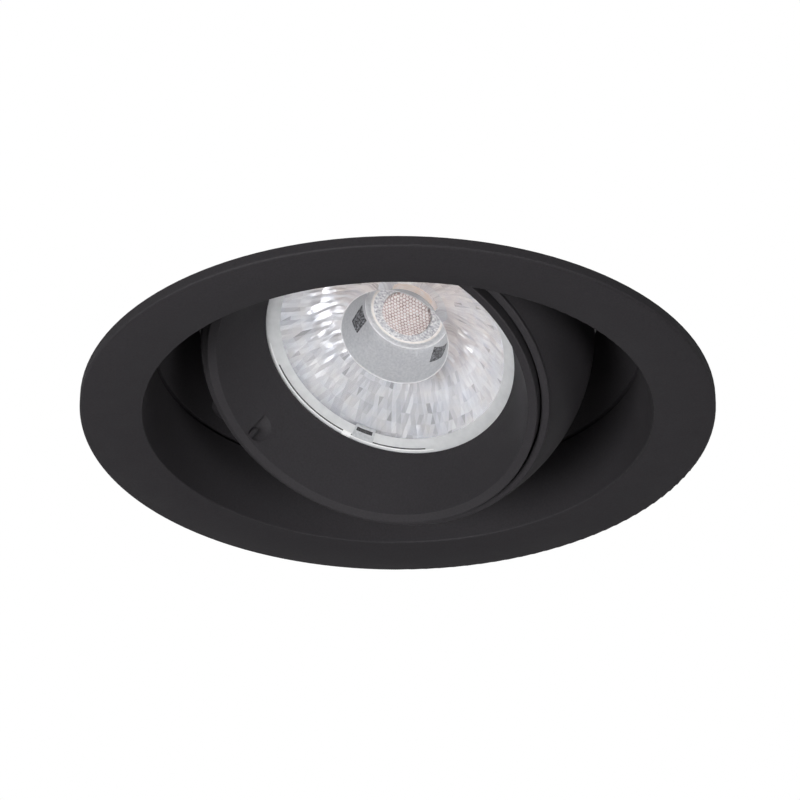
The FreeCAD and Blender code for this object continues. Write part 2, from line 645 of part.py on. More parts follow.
def ring_body():
    """Floor on the seat, funnel up to the throat, guide wall in the socket."""
    slope = math.atan2(THROAT_Z - RING_BASE, FUNNEL_IN_R - THROAT_R)
    lift = FUNNEL_WALL / math.cos(slope)
    floor_top = RING_BASE + RING_FLOOR
    fall = math.tan(slope)

    def back_of_funnel(r):
        return RING_BASE + (FUNNEL_IN_R - r) * fall + lift

    collar_r = THROAT_R + FUNNEL_WALL
    foot_r = FUNNEL_IN_R - (floor_top - RING_BASE - lift) / fall
    return lathe(
        (FUNNEL_IN_R, RING_BASE), (RING_R, RING_BASE), (RING_R, GUIDE_TOP),
        (GUIDE_IN_R, GUIDE_TOP), (GUIDE_IN_R, floor_top), (foot_r, floor_top),
        (collar_r, back_of_funnel(collar_r)), (collar_r, THROAT_TOP), (THROAT_R, THROAT_TOP),
        (THROAT_R, THROAT_Z),
    )


def ring_ribs():
    """Thin webs between the funnel's back and the guide wall, clear of the pivot bosses."""
    inner, outer = THROAT_R + ROOT, GUIDE_IN_R + GUIDE_WALL / 4
    web = outline((inner, THROAT_TOP - RIB_DROP), (inner, THROAT_Z + ROOT),
                  (FUNNEL_IN_R, RING_BASE + ROOT), (outer, RING_BASE + ROOT),
                  (outer, RING_BASE + RIB_FOOT)).extrude(V(0, RIB_T, 0))
    web.translate(V(0, -RIB_T / 2, 0))
    return evenly(web, RIB_COUNT, 180.0 / RIB_COUNT)


def pivot_boss(side):
    """Round boss through the funnel on the tilt axis; side is +1 or -1."""
    boss = rod(EAR_R, V(EAR_IN, 0, BALL_Z), X_AXIS, EAR_OUT - EAR_IN)
    return around(boss, 0 if side > 0 else 180)


def pivot_clearances():
    """On each side: the bore, a flat for the washer and room for the screw's head."""
    cuts = []
    for heading in (0, 180):
        bore = rod(PIVOT_BORE_R, V(BALL_R, 0, BALL_Z), X_AXIS, RING_R - BALL_R)
        flat = rod(EAR_R + SCREW_FIT, V(PIVOT_FACE, 0, BALL_Z), X_AXIS, EAR_IN - PIVOT_FACE)
        room = rod(SCREW_HEAD_R + SIDE_PLAY, V(EAR_OUT, 0, BALL_Z), X_AXIS, GUIDE_IN_R - EAR_OUT)
        cuts += [around(cut, heading) for cut in (bore, flat, room)]
    return cuts


def tilt_stop():
    """Plate on the throat above one pivot, with a peg that runs in the ball's arc groove."""
    plate = block((EAR_IN, THROAT_R + FUNNEL_WALL), (-EAR_R, EAR_R),
                  (THROAT_Z + ROOT, BALL_Z + STOP_ARM + 2 * STOP_PEG_R))
    length = EAR_IN + ROOT - STOP_PEG_IN
    peg = rod(STOP_PEG_R, V(STOP_PEG_IN, 0, BALL_Z + STOP_ARM), X_AXIS, length)
    return [plate, peg]


def swivel_lug():
    """Upright lug that meets the stop finger at each end of the swivel."""
    half = STOP_LUG_W / 2
    inner, outer = GUIDE_IN_R - STOP_LUG_DEPTH, GUIDE_IN_R
    root = block((inner, outer + GUIDE_WALL / 2), (-half, half), (RING_BASE + ROOT, GUIDE_TOP))
    finger = block((inner, outer), (-half, half), (RING_BASE + ROOT, SOCKET_TOP + 2 * TAB_T))
    return fused(root, finger)


def swivel_ring():
    """The lug stands opposite the stop finger at rest, so the ring turns as far both ways."""
    lug = around(swivel_lug(), STOP_HEADING + 180.0 - SWIVEL_HEADING)
    ring = fused(ring_body(), *ring_ribs(), pivot_boss(1), pivot_boss(-1), *tilt_stop(), lug)
    guide = tube(RING_R, GUIDE_IN_R, RING_BASE, GUIDE_TOP)
    return fused(ring.cut(pivot_clearances()), guide)


# ---- eyeball shell ------------------------------------------------------------------------

def shell_body():
    """Spherical casting, open at the front for the snoot and at the back for the heatsink."""
    def on_ball(height):
        return (ball_radius_at(height), height)

    def inside(height):
        return (math.sqrt((BALL_R - SHELL_CAST) ** 2 - height ** 2), height)

    shelf_low = REAR_SHELF - SHELF_T
    neck = SHELL_CAST - SKIRT_BACK_H
    knee = RIM_SOFT * CORNER
    return lathe(
        (SHELL_MOUTH_R, RIM_SOFT - RIM_H),
        ((SHELL_MOUTH_R + knee, knee - RIM_H), (SHELL_MOUTH_R + RIM_SOFT, -RIM_H)),
        (RIM_R - RIM_SOFT, -RIM_H),
        ((RIM_R - knee, knee - RIM_H), (RIM_R, RIM_SOFT - RIM_H)),
        (RIM_R, -math.sqrt(BALL_R ** 2 - RIM_R ** 2)),
        (on_ball(0), on_ball(SHELL_BACK)),
        (SHELL_SOCKET_R, SHELL_BACK), (SHELL_SOCKET_R, REAR_SHELF),
        (SHELF_IN_R, REAR_SHELF), (SHELF_IN_R, shelf_low),
        inside(shelf_low),
        (inside((shelf_low + neck) / 2), inside(neck)),
        (SHELL_MOUTH_R, -SKIRT_BACK_H),
    )


def pivot_core(side):
    """Solid boss inside the shell behind each pivot, for the shoulder screw's thread."""
    length = PIVOT_HOLE_L + PIVOT_SHOULDER
    core = rod(PIVOT_CORE_R, V(PIVOT_FACE - length, 0, 0), X_AXIS, length)
    return around(core.common(Part.makeSphere(BALL_R)), 0 if side > 0 else 180)


def pivot_cuts():
    cuts = []
    for side in (0, 180):
        flat = rod(EAR_R + EAR_FLAT_MARGIN, V(PIVOT_FACE, 0, 0), X_AXIS, EAR_T)
        thread = rod(PIVOT_THREAD_R + SCREW_FIT, V(PIVOT_FACE - PIVOT_HOLE_L, 0, 0), X_AXIS, BALL_R)
        cuts += [around(flat, side), around(thread, side)]
    return cuts


def stop_groove():
    """Arc round the tilt axis that lets the ring's peg pass from 0 to MAX_TILT."""
    wide = STOP_PEG_R + STOP_PLAY
    floor = STOP_GROOVE_FLOOR
    side = outline((floor, STOP_ARM - wide), (BALL_R, STOP_ARM - wide),
                   (BALL_R, STOP_ARM + wide), (floor, STOP_ARM + wide))
    cuts = [side.revolve(V(0, 0, 0), X_AXIS, -MAX_TILT)]
    for angle in (0.0, -MAX_TILT):
        end = rod(wide, V(floor, 0, STOP_ARM), X_AXIS, BALL_R - floor)
        end.rotate(V(0, 0, 0), X_AXIS, angle)
        cuts.append(end)
    return cuts


def bayonet_pegs():
    """Pegs on the shell's bore that the snoot's slots hook on."""
    reach = BEZEL_R - PEG_REACH
    peg = rod(PEG_R, V(reach, 0, -BAYONET_H), X_AXIS, SHELL_MOUTH_R + ROOT - reach)
    return evenly(peg, BAYONET_COUNT, BAYONET_FIRST)


def eyeball_shell():
    shell = fused(shell_body(), pivot_core(1), pivot_core(-1), *bayonet_pegs())
    thread = rod(M3_R + SCREW_FIT, V(SINK_SCREW_AT, 0, REAR_SHELF - 2 * SHELF_T), Z_AXIS, 3 * SHELF_T)
    return shell.cut(pivot_cuts() + stop_groove() + evenly(thread, SINK_SCREW_COUNT))


# ---- twist-lock snoot ---------------------------------------------------------------------

def cone_radius(height):
    """Inner radius of the anti-glare cone at a height ahead of the ball's centre."""
    return CONE_LIP_R + CONE_TAPER * (height - CONE_LIP_H) / CONE_DEPTH


def snoot_body():
    """Bezel, cone and skirt in one profile; the skirt carries the bayonet slots."""
    meet_h = CONE_LIP_H + (SKIRT_IN_R - CONE_LIP_R - CONE_WALL) * CONE_DEPTH / CONE_TAPER
    knee = BEZEL_SOFT * CORNER
    return lathe(
        (CONE_MOUTH_R, -BEZEL_IN_H), (CONE_LIP_R, -CONE_LIP_H),
        (CONE_LIP_R + CONE_WALL, -CONE_LIP_H), (SKIRT_IN_R, -meet_h),
        (SKIRT_IN_R, -SKIRT_BACK_H), (BEZEL_R, -SKIRT_BACK_H),
        (BEZEL_R, -BEZEL_OUT_H + BEZEL_SOFT),
        ((BEZEL_R - knee, -BEZEL_OUT_H + knee), (BEZEL_R - BEZEL_SOFT, -BEZEL_OUT_H)),
    )


def bayonet_slot():
    """L-shaped slot from the skirt's back edge: in, then round by the twist angle."""
    wide = PEG_R + PEG_PLAY
    inner, outer = SKIRT_IN_R - MOUTH_GAP / 2, BEZEL_R + MOUTH_GAP / 2
    leg = block((inner, outer), (-wide, wide), (-BAYONET_H, BAYONET_INSET - SKIRT_BACK_H))
    leg.rotate(V(0, 0, 0), Z_AXIS, -TWIST)
    ends = []
    for angle in (0.0, -TWIST):
        end = rod(wide, V(inner, 0, -BAYONET_H), X_AXIS, outer - inner)
        end.rotate(V(0, 0, 0), Z_AXIS, angle)
        ends.append(end)
    side = outline((inner, -BAYONET_H - wide), (outer, -BAYONET_H - wide),
                   (outer, -BAYONET_H + wide), (inner, -BAYONET_H + wide))
    lane = side.revolve(V(0, 0, 0), Z_AXIS, -TWIST)
    return [leg, lane] + ends


def off_cone(height, side, rise):
    """Point beside the tilt axis and above the cone's surface, at a height ahead of the ball."""
    normal = V(-CONE_DEPTH, 0, -CONE_TAPER).normalize()
    return V(cone_radius(height), -side, -height) + normal * rise


def fingernail_notch():
    """Scoop in the cone beside the bezel, steep on one side, to push the ring round by."""
    scoop = Part.makeSphere(NOTCH_BALL_R, off_cone(NOTCH_H, NOTCH_SIDE, NOTCH_BALL_R - NOTCH_DEPTH))
    side = (-2 * NOTCH_BALL_R, -NOTCH_WALL_AT)
    return scoop.common(block((0, BEZEL_R), side, (NOTCH_LAND - BEZEL_IN_H, 0)))


def notch_rib():
    """Rounded rib that runs from the bezel into the scoop."""
    inward = V(-CONE_TAPER, 0, CONE_DEPTH).normalize()
    start = off_cone(BEZEL_IN_H - NOTCH_LAND, NOTCH_RIB_AT, NOTCH_RIB_PROUD - NOTCH_RIB_R)
    rib = rod(NOTCH_RIB_R, start, inward, NOTCH_RIB_L)
    return rib.fuse(Part.makeSphere(NOTCH_RIB_R, start + inward * NOTCH_RIB_L))


def snoot_ring():
    cuts = [fingernail_notch()]
    for piece in bayonet_slot():
        cuts += evenly(piece, BAYONET_COUNT, BAYONET_FIRST)
    return fused(snoot_body().cut(cuts), notch_rib())


# ---- optic --------------------------------------------------------------------------------

def optic_radius(height):
    """The collimator's outer wall: a parabola from its back end to the rim."""
    gain = (OPTIC_SHOULDER_R ** 2 - OPTIC_BACK_R ** 2) / (LENS_RIM_BACK_H - OPTIC_BACK_H)
    return math.sqrt(OPTIC_BACK_R ** 2 + gain * (height - OPTIC_BACK_H))


def lens():
    """Collimating lens with a dished face and a tapered well down to a small inner lens."""
    middle = (LENS_RIM_BACK_H + OPTIC_BACK_H) / 2
    pocket_top = -OPTIC_BACK_H - POCKET_DEPTH
    pocket_edge = (LED_POCKET_R - POCKET_DRAFT, pocket_top + POCKET_DOME)
    dish_r = (LENS_FACE_R + WELL_MOUTH_R) / 2
    dish_h = WELL_MOUTH_H + DISH_DEPTH * DISH_SHARE
    floor_z = -WELL_FLOOR_H
    return lathe(
        (0, floor_z - WELL_DOME), (CENTRE_FLAT, floor_z - WELL_DOME),
        ((0.6 * WELL_FLOOR_R, floor_z - 0.65 * WELL_DOME), (WELL_FLOOR_R, floor_z)),
        (WELL_MOUTH_R, -WELL_MOUTH_H),
        ((dish_r, -dish_h), (LENS_FACE_R, -LENS_FRONT_H)),
        (LENS_R, -LENS_FRONT_H), (LENS_R, -LENS_RIM_BACK_H), (OPTIC_SHOULDER_R, -LENS_RIM_BACK_H),
        ((optic_radius(middle), -middle), (OPTIC_BACK_R, -OPTIC_BACK_H)),
        (LED_POCKET_R, -OPTIC_BACK_H), pocket_edge,
        ((0.6 * LED_POCKET_R, pocket_top + 0.35 * POCKET_DOME), (CENTRE_FLAT, pocket_top)),
        (0, pocket_top),
    )


def lens_seal():
    """Flat silicone ring behind the lens rim."""
    return tube(LENS_R, LENS_R - SEAL_W, -LENS_RIM_BACK_H, -LENS_RIM_BACK_H + SEAL_T)


def lens_holder():
    """Funnel-shaped plastic cup that carries the lens rim and stands on the heatsink."""
    inner = LENS_R + HOLDER_GAP
    outer = inner + HOLDER_WALL
    bore = LENS_R - SEAL_W
    front_z = HOLDER_RIM_DROP - LENS_FRONT_H
    ledge_z = SEAL_T - LENS_RIM_BACK_H
    neck_z = ledge_z + HOLDER_SHELF_H
    waist_z = REAR_SHELF - HOLDER_WAIST
    foot_z = REAR_SHELF - HOLDER_FOOT_T
    waist_r = HOLDER_FOOT_R + HOLDER_GAP
    foot_in = HOLDER_FOOT_R - HOLDER_FOOT_LIP
    return lathe(
        (inner, front_z), (outer, front_z), (outer, neck_z),
        (waist_r + HOLDER_WALL, waist_z), (HOLDER_FOOT_R + HOLDER_WALL, foot_z),
        (HOLDER_FOOT_R + HOLDER_WALL, REAR_SHELF), (foot_in, REAR_SHELF), (foot_in, foot_z),
        (waist_r, waist_z), (inner - HOLDER_STEP_T, neck_z),
        (bore, ledge_z + HOLDER_STEP_T), (bore, ledge_z), (inner, ledge_z),
    )


# ---- light engine -------------------------------------------------------------------------

def led_carrier():
    """Square ceramic board with a low round dam for the emitter."""
    half = CARRIER_SIDE / 2
    board = block((-half, half), (-half, half), (CARRIER_FRONT, CARRIER_FRONT + CARRIER_T))
    dam = tube(EMITTER_R + DAM_W, EMITTER_R, CARRIER_FRONT - EMITTER_T, CARRIER_FRONT)
    return fused(board, dam)


def led_emitter():
    """Domed phosphor disc inside the dam."""
    low = CARRIER_FRONT - EMITTER_T
    edge = EMITTER_R - SCREW_FIT
    return lathe((0, low - EMITTER_DOME), (CENTRE_FLAT, low - EMITTER_DOME),
                 ((0.6 * edge, low - 0.65 * EMITTER_DOME), (edge, low)),
                 (edge, CARRIER_FRONT), (0, CARRIER_FRONT))


def thermal_pad():
    half = CARRIER_SIDE / 2 - PAD_INSET
    return block((-half, half), (-half, half), (REAR_SHELF - PAD_T, REAR_SHELF))


def clamp_screw_places():
    return [V(x, 0, 0) for x in (-CLAMP_SCREW_AT, CLAMP_SCREW_AT)]


def led_clamp():
    """White plastic ring that presses the board onto the heatsink."""
    front = REAR_SHELF - CLAMP_T
    window = EMITTER_R + CLAMP_WINDOW_GAP
    ring = lathe((window, front), (CLAMP_R - CLAMP_BEVEL, front), (CLAMP_R, front + CLAMP_BEVEL),
                 (CLAMP_R, REAR_SHELF), (window, REAR_SHELF))
    room = CARRIER_SIDE / 2 + HOLDER_GAP
    pocket = block((-room, room), (-room, room), (CARRIER_FRONT, REAR_SHELF + CLAMP_T))
    holes = [rod(M3_HOLE_R, place + V(0, 0, front - CLAMP_T), Z_AXIS, 3 * CLAMP_T)
             for place in clamp_screw_places()]
    return ring.cut([pocket] + holes)


def clamp_screws():
    screws = []
    for place in clamp_screw_places():
        screw = pan_screw(M3_R, M3_LOW_HEAD_R, M3_LOW_HEAD_H, CLAMP_T + SINK_T - FIN_SLOT - SIDE_PLAY)
        screw.rotate(V(0, 0, 0), X_AXIS, 180)
        screw.translate(place + V(0, 0, REAR_SHELF - CLAMP_T))
        screws.append(screw)
    return Part.makeCompound(screws)


# ---- heatsink -----------------------------------------------------------------------------

def fins():
    """Radial blades drawn in towards their free ends, cut back round the cable gland."""
    inner, low = HUB_R - FIN_SLOT, SINK_BACK - FIN_SLOT
    bend = (FIN_R - FIN_DRAW / 4, FIN_TOP - FIN_CROWN / 3)
    face = outline((inner, low), (FIN_R, low), (FIN_R, FIN_TOP - FIN_CROWN),
                   (bend, (FIN_CROWN_R, FIN_TOP)), (inner, FIN_TOP))
    blade = face.extrude(V(0, FIN_T, 0))
    blade.translate(V(0, -FIN_T / 2, 0))
    room = rod(GLAND_BOSS_R + GLAND_ROOM, V(0, GLAND_Y, GLAND_BOSS_TOP), Z_AXIS, FIN_TOP)
    boss = rod(GLAND_BOSS_R, V(0, GLAND_Y, REAR_SHELF), Z_AXIS, GLAND_BOSS_TOP - REAR_SHELF)
    blades = [piece.cut([room, boss]) for piece in evenly(blade, FIN_COUNT, 180.0 / FIN_COUNT)]
    return [max(piece.Solids, key=lambda solid: solid.Volume) for piece in blades]


def heatsink_fins():
    return Part.makeCompound(fins())


def heatsink():
    """Round base and solid hub, slotted for the fins, with a boss for the cable gland."""
    disc = rod(SINK_R, V(0, 0, REAR_SHELF), Z_AXIS, SINK_T)
    hub = rod(HUB_R, V(0, 0, REAR_SHELF), Z_AXIS, HUB_TOP - REAR_SHELF)
    room = rod(GLAND_BOSS_R + GLAND_ROOM, V(0, GLAND_Y, GLAND_BOSS_TOP), Z_AXIS, FIN_TOP)
    boss = rod(GLAND_BOSS_R, V(0, GLAND_Y, REAR_SHELF), Z_AXIS, GLAND_BOSS_TOP - REAR_SHELF)
    body = fused(disc, hub.cut(room), boss)
    thread_low = GLAND_BOSS_TOP - GLAND_SPIGOT_L - SCREW_TIP_ROOM / 2
    screw_hole = rod(M3_HOLE_R, V(SINK_SCREW_AT, 0, REAR_SHELF - SINK_T), Z_AXIS, 3 * SINK_T)
    cuts = fins() + [
        rod(GLAND_THREAD_R + SCREW_FIT, V(0, GLAND_Y, thread_low), Z_AXIS, GLAND_BOSS_H),
        rod(WIRE_HOLE_R, V(0, GLAND_Y, REAR_SHELF - SINK_T), Z_AXIS, GLAND_BOSS_TOP),
    ]
    cuts += evenly(screw_hole, SINK_SCREW_COUNT)
    cuts += [rod(M3_R + SCREW_FIT, place + V(0, 0, REAR_SHELF - SINK_T), Z_AXIS,
                 2 * SINK_T - FIN_SLOT) for place in clamp_screw_places()]
    return body.cut(cuts).removeSplitter()


def sink_screws():
    screw = pan_screw(M3_R, M3_HEAD_R, M3_HEAD_H, SINK_T + SHELF_T)
    screw.translate(V(SINK_SCREW_AT, 0, SINK_BACK))
    return Part.makeCompound(evenly(screw, SINK_SCREW_COUNT))


# ---- cable gland --------------------------------------------------------------------------

def hexagon(across, low, height):
    corner = across / math.sqrt(3)
    points = [V(corner * math.cos(math.radians(60 * i)), corner * math.sin(math.radians(60 * i)), low)
              for i in range(7)]
    return Part.Face(Part.makePolygon(points)).extrude(V(0, 0, height))


def at_gland(shape):
    moved = shape.copy()
    moved.translate(V(0, GLAND_Y, GLAND_BOSS_TOP))
    return moved


def gland_body():
    """Threaded spigot, hexagon and the collar that the nut screws onto."""
    spigot = rod(GLAND_THREAD_R, V(0, 0, -GLAND_SPIGOT_L), Z_AXIS, GLAND_SPIGOT_L)
    collar = rod(GLAND_THREAD_R, V(0, 0, GLAND_HEX_H), Z_AXIS, GLAND_NUT_H / 2)
    solid = fused(hexagon(2 * GLAND_FLAT_R, 0, GLAND_HEX_H), spigot, collar)
    bore = rod(GLAND_SEAL_R, V(0, 0, -GLAND_SPIGOT_L), Z_AXIS, GLAND_SPIGOT_L + GLAND_HEX_H + GLAND_NUT_H)
    return at_gland(solid.cut(bore))


def gland_nut():
    """Dome nut with flats, bored for the cable."""
    low = GLAND_HEX_H + SIDE_PLAY
    outer = GLAND_FLAT_R + HOLDER_GAP
    dome = lathe((0, low), (outer, low), (outer, low + 0.6 * GLAND_NUT_H),
                 ((0.86 * GLAND_FLAT_R, low + 0.88 * GLAND_NUT_H),
                  (0.62 * GLAND_FLAT_R, low + GLAND_NUT_H)),
                 (0, low + GLAND_NUT_H))
    nut = dome.common(hexagon(2 * GLAND_FLAT_R, low, GLAND_NUT_H))
    thread = rod(GLAND_THREAD_R + SCREW_FIT, V(0, 0, 0), Z_AXIS, low + GLAND_NUT_H * GLAND_NUT_THREAD)
    bore = rod(GLAND_BORE_R, V(0, 0, low), Z_AXIS, 2 * GLAND_NUT_H)
    return at_gland(nut.cut([thread, bore]))


def gland_seal():
    """Rubber sleeve that the nut squeezes round the cable."""
    top = GLAND_HEX_H + 0.6 * GLAND_NUT_H
    return at_gland(tube(GLAND_SEAL_R - SCREW_FIT, GLAND_BORE_R - GLAND_SQUEEZE, SCREW_TIP_ROOM / 2, top))


# ---- tilt hardware ------------------------------------------------------------------------

def tilt_screw(side):
    """Shoulder screw: thread in the ball, shoulder in the ring's boss, head outside."""
    head_from = EAR_OUT + SIDE_PLAY
    shoulder = rod(PIVOT_BORE_R - PIVOT_FIT, V(PIVOT_FACE, 0, 0), X_AXIS, head_from - PIVOT_FACE)
    thread = rod(PIVOT_THREAD_R, V(PIVOT_FACE - PIVOT_THREAD_L, 0, 0), X_AXIS, PIVOT_THREAD_L)
    head = rod(SCREW_HEAD_R, V(head_from, 0, 0), X_AXIS, SCREW_HEAD_H)
    key = hexagon(SCREW_HEAD_R, 0, SCREW_HEAD_H)
    key.rotate(V(0, 0, 0), Y_AXIS, 90)
    key.translate(V(head_from + SCREW_HEAD_H / 2, 0, 0))
    return around(fused(shoulder, thread, head).cut(key), 0 if side > 0 else 180)


def friction_washer(side):
    """Nylon washer between the ball's flat and the ring's boss; it holds the tilt."""
    ring = rod(EAR_R - WASHER_INSET, V(PIVOT_FACE, 0, 0), X_AXIS, WASHER_T)
    hole = rod(PIVOT_BORE_R + SCREW_FIT, V(PIVOT_FACE - WASHER_T, 0, 0), X_AXIS, 3 * WASHER_T)
    return around(ring.cut(hole), 0 if side > 0 else 180)


# ---- assembly -----------------------------------------------------------------------------

def build():
    keep("trim_ring", trim_ring())
    keep("ceiling_gasket", ceiling_gasket())
    for number, heading in enumerate(clip_headings(), start=1):
        keep(f"clip_bracket_{number}", around(clip_bracket(), heading))
        keep(f"clip_pin_{number}", around(clip_pin(), heading))
        keep(f"clip_arm_{number}", around(clip_arm(), heading))
        keep(f"clip_spring_{number}", around(clip_spring(), heading))
    keep("bracket_rivets", bracket_rivets())
    for number, heading in enumerate(TAB_HEADINGS, start=1):
        keep(f"retainer_tab_{number}", around(tab(TAB_IN_R, TAB_W), heading))
    keep("swivel_stop_finger", around(tab(STOP_FINGER_IN_R, STOP_FINGER_W), STOP_HEADING))
    keep("retainer_screws", retainer_screws())

    keep("swivel_ring", swivel_ring(), SWIVEL_TO_SOFFIT)

    keep("eyeball_shell", eyeball_shell(), HEAD_TO_SOFFIT)
    for name, side in (("a", 1), ("b", -1)):
        keep(f"tilt_screw_{name}", tilt_screw(side), HEAD_TO_SOFFIT)
        keep(f"friction_washer_{name}", friction_washer(side), HEAD_TO_SOFFIT)
    head_parts = {
        "snoot_ring": snoot_ring, "lens": lens, "lens_seal": lens_seal,
        "lens_holder": lens_holder, "led_carrier": led_carrier, "led_emitter": led_emitter,
        "thermal_pad": thermal_pad, "led_clamp": led_clamp, "clamp_screws": clamp_screws,
        "heatsink": heatsink, "heatsink_fins": heatsink_fins, "heatsink_screws": sink_screws,
        "gland_body": gland_body, "gland_nut": gland_nut, "gland_seal": gland_seal,
    }
    for name, make in head_parts.items():
        keep(name, make(), HEAD_TO_SOFFIT)


def report_and_export():
    os.makedirs("parts", exist_ok=True)
    for name, shape in PARTS.items():
        solids = shape.Solids
        volume = sum(s.Volume for s in solids)
        sound = shape.isValid() and all(s.isClosed() for s in solids)
        print(f"{name:22s} solids {len(solids)}  volume {volume:10.1f} mm3  {'ok' if sound else 'BAD'}")
        shape.exportStep(f"parts/{name}.step")
    print(len(PARTS), "nodes")


build()
report_and_export()
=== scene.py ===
# %% [markdown]
# # A soffit downlight, finished from its CAD frame
#
# The light is a black round fitting for an outdoor ceiling. A flat flange covers the edge of the
# hole, a deep collar leads up to a funnel-shaped ring, and in that ring hangs an eyeball that
# tilts and swivels. A clear optic sits behind a twist-off snoot. The CAD model already holds every
# rigid piece at its real size, so the work here is finish, optics and light. The first cell loads
# that frame.

# %% Load the frame
import json
import math
import random

import bmesh
import bpy
from mathutils import Matrix, Vector


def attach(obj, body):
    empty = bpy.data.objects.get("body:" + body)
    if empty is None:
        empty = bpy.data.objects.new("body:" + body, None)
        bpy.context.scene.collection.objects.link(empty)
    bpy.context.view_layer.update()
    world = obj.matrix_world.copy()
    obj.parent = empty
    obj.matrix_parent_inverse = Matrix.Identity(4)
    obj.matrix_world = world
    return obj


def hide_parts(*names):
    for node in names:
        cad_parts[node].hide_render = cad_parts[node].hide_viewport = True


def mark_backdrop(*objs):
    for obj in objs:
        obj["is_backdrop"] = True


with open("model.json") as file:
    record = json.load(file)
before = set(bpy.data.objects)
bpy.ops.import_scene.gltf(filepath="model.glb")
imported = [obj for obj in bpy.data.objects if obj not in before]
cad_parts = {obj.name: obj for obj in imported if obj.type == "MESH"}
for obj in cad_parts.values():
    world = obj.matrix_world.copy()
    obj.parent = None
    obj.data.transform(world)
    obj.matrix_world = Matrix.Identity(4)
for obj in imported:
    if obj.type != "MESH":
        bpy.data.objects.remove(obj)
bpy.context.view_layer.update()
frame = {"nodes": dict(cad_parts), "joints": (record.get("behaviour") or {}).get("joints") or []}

MM = 0.001
NODES = frame["nodes"]

# %% [markdown]
# The head hangs tilted, so the optic and everything else inside it is easiest to draw in a frame of
# its own: the ball's centre as origin, the tilt axis as X and the head's own axis as Z. Those
# three could be typed in again, but the joints of the frame already hold them, and a piece that
# takes its place from a joint can't drift away from it.

# %% The head's own frame, taken from the joints
JOINTS = {joint["name"]: joint for joint in frame["joints"]}


def head_frame():
    z = Vector(JOINTS["snoot_twist"]["axis"]).normalized()
    x = Vector(JOINTS["head_tilt"]["axis"]).normalized()
    y = z.cross(x)
    turn = Matrix((x, y, z)).transposed().to_4x4()
    return Matrix.Translation(Vector(JOINTS["head_tilt"]["pos_m"])) @ turn


HEAD = head_frame()
print("ball centre mm", [round(c / MM, 2) for c in HEAD.translation])

# %% [markdown]
# The photograph looks up at the ceiling from in front, about 31 degrees above the horizontal,
# through a long lens. Only two numbers decide how round the flange looks: that angle and the
# distance. The camera is placed by them, and aimed a hair above and to the right of the
# origin, because the picture isn't centred on the fitting.

# %% Camera
LOOK_UP = math.radians(30.7)
CAMERA_DISTANCE = 1.020
CAMERA_LENS = 171.2
AIM_RIGHT, AIM_UP = 0.59 * MM, 2.73 * MM


def add_camera():
    ahead = Vector((0, math.cos(LOOK_UP), math.sin(LOOK_UP)))
    up = Vector((0, -math.sin(LOOK_UP), math.cos(LOOK_UP)))
    place = -ahead * CAMERA_DISTANCE
    aim = Vector((AIM_RIGHT, 0, 0)) + up * AIM_UP
    camera = bpy.data.objects.new("camera", bpy.data.cameras.new("camera"))
    bpy.context.scene.collection.objects.link(camera)
    camera.data.lens = CAMERA_LENS
    camera.data.clip_start, camera.data.clip_end = 0.05, 20
    back = (place - aim).normalized()
    right = Vector((0, 0, 1)).cross(back).normalized()
    turn = Matrix((right, back.cross(right), back)).transposed().to_4x4()
    camera.matrix_world = Matrix.Translation(place) @ turn
    bpy.context.scene.camera = camera
    return camera


print("camera at", [round(c, 3) for c in add_camera().matrix_world.translation])

# %% [markdown]
# Materials come next, and each one is a short graph of nodes. These helpers keep a graph readable:
# one makes an empty material, one adds a node and sets its plain values, and one makes fine noise
# in object space, so that the grain sticks to a piece when it moves.

# %% Helpers for node graphs
def new_material(name):
    material = bpy.data.materials.new(name)
    material.use_nodes = True
    tree = material.node_tree
    tree.nodes.clear()
    return material, tree


def add(tree, kind, inputs=None, **settings):
    node = tree.nodes.new("ShaderNode" + kind)
    for key, value in settings.items():
        setattr(node, key, value)
    for key, value in (inputs or {}).items():
        if isinstance(value, bpy.types.NodeSocket):
            tree.links.new(value, node.inputs[key])
        else:
            node.inputs[key].default_value = value
    return node


def grain(tree, scale, detail=2.0, roughness=0.5, stretch=None):
    """Noise with cells of about 1/scale metres, in the piece's own space."""
    place = add(tree, "TexCoord").outputs["Object"]
    if stretch:
        place = add(tree, "Mapping", {"Vector": place, "Scale": stretch}).outputs["Vector"]
    return add(tree, "TexNoise", {"Vector": place, "Scale": scale, "Detail": detail,
                                  "Roughness": roughness}).outputs["Fac"]


def remap(tree, value, low, high, start=0.3, end=0.7):
    """Stretches the middle of a noise to the range from low to high."""
    return add(tree, "MapRange", {"Value": value, "From Min": start, "From Max": end,
                                  "To Min": low, "To Max": high}).outputs["Result"]


def tint(tree, value, dark, light):
    """A colour between dark and light."""
    mix = add(tree, "Mix", {"Factor": value}, data_type="RGBA")
    mix.inputs["A"].default_value = (*dark, 1)
    mix.inputs["B"].default_value = (*light, 1)
    return mix.outputs["Result"]


def finish_surface(tree, shader):
    output = add(tree, "OutputMaterial")
    tree.links.new(shader.outputs[0], output.inputs["Surface"])


def paint(node_name, material):
    """Gives a CAD node its finish."""
    mesh = NODES[node_name].data
    mesh.materials.clear()
    mesh.materials.append(material)


# %% [markdown]
# **Powder coat.** The trim, the ring, the eyeball and the snoot are die castings with a fine black
# powder coat. Baked powder flows into tiny low hills, a few tenths of a millimetre across, with a
# finer tooth on top, and it is never quite black: in soft light it reads as a warm charcoal. A
# single dark colour would look like plastic. Two layers of noise drive the bump, a slow cloud moves
# the roughness a little, and the edge of each casting is softened in shading, because a sharp edge
# is where powder always pulls thin and catches light.

# %% Powder coat
CLOUD_SCALE, HILL_SCALE, TOOTH_SCALE = 60, 1900, 7000    # noise cells to the metre
HILL_SHARE, TOOTH_SHARE = 0.7, 0.3
COAT_RELIEF = 0.06 * MM


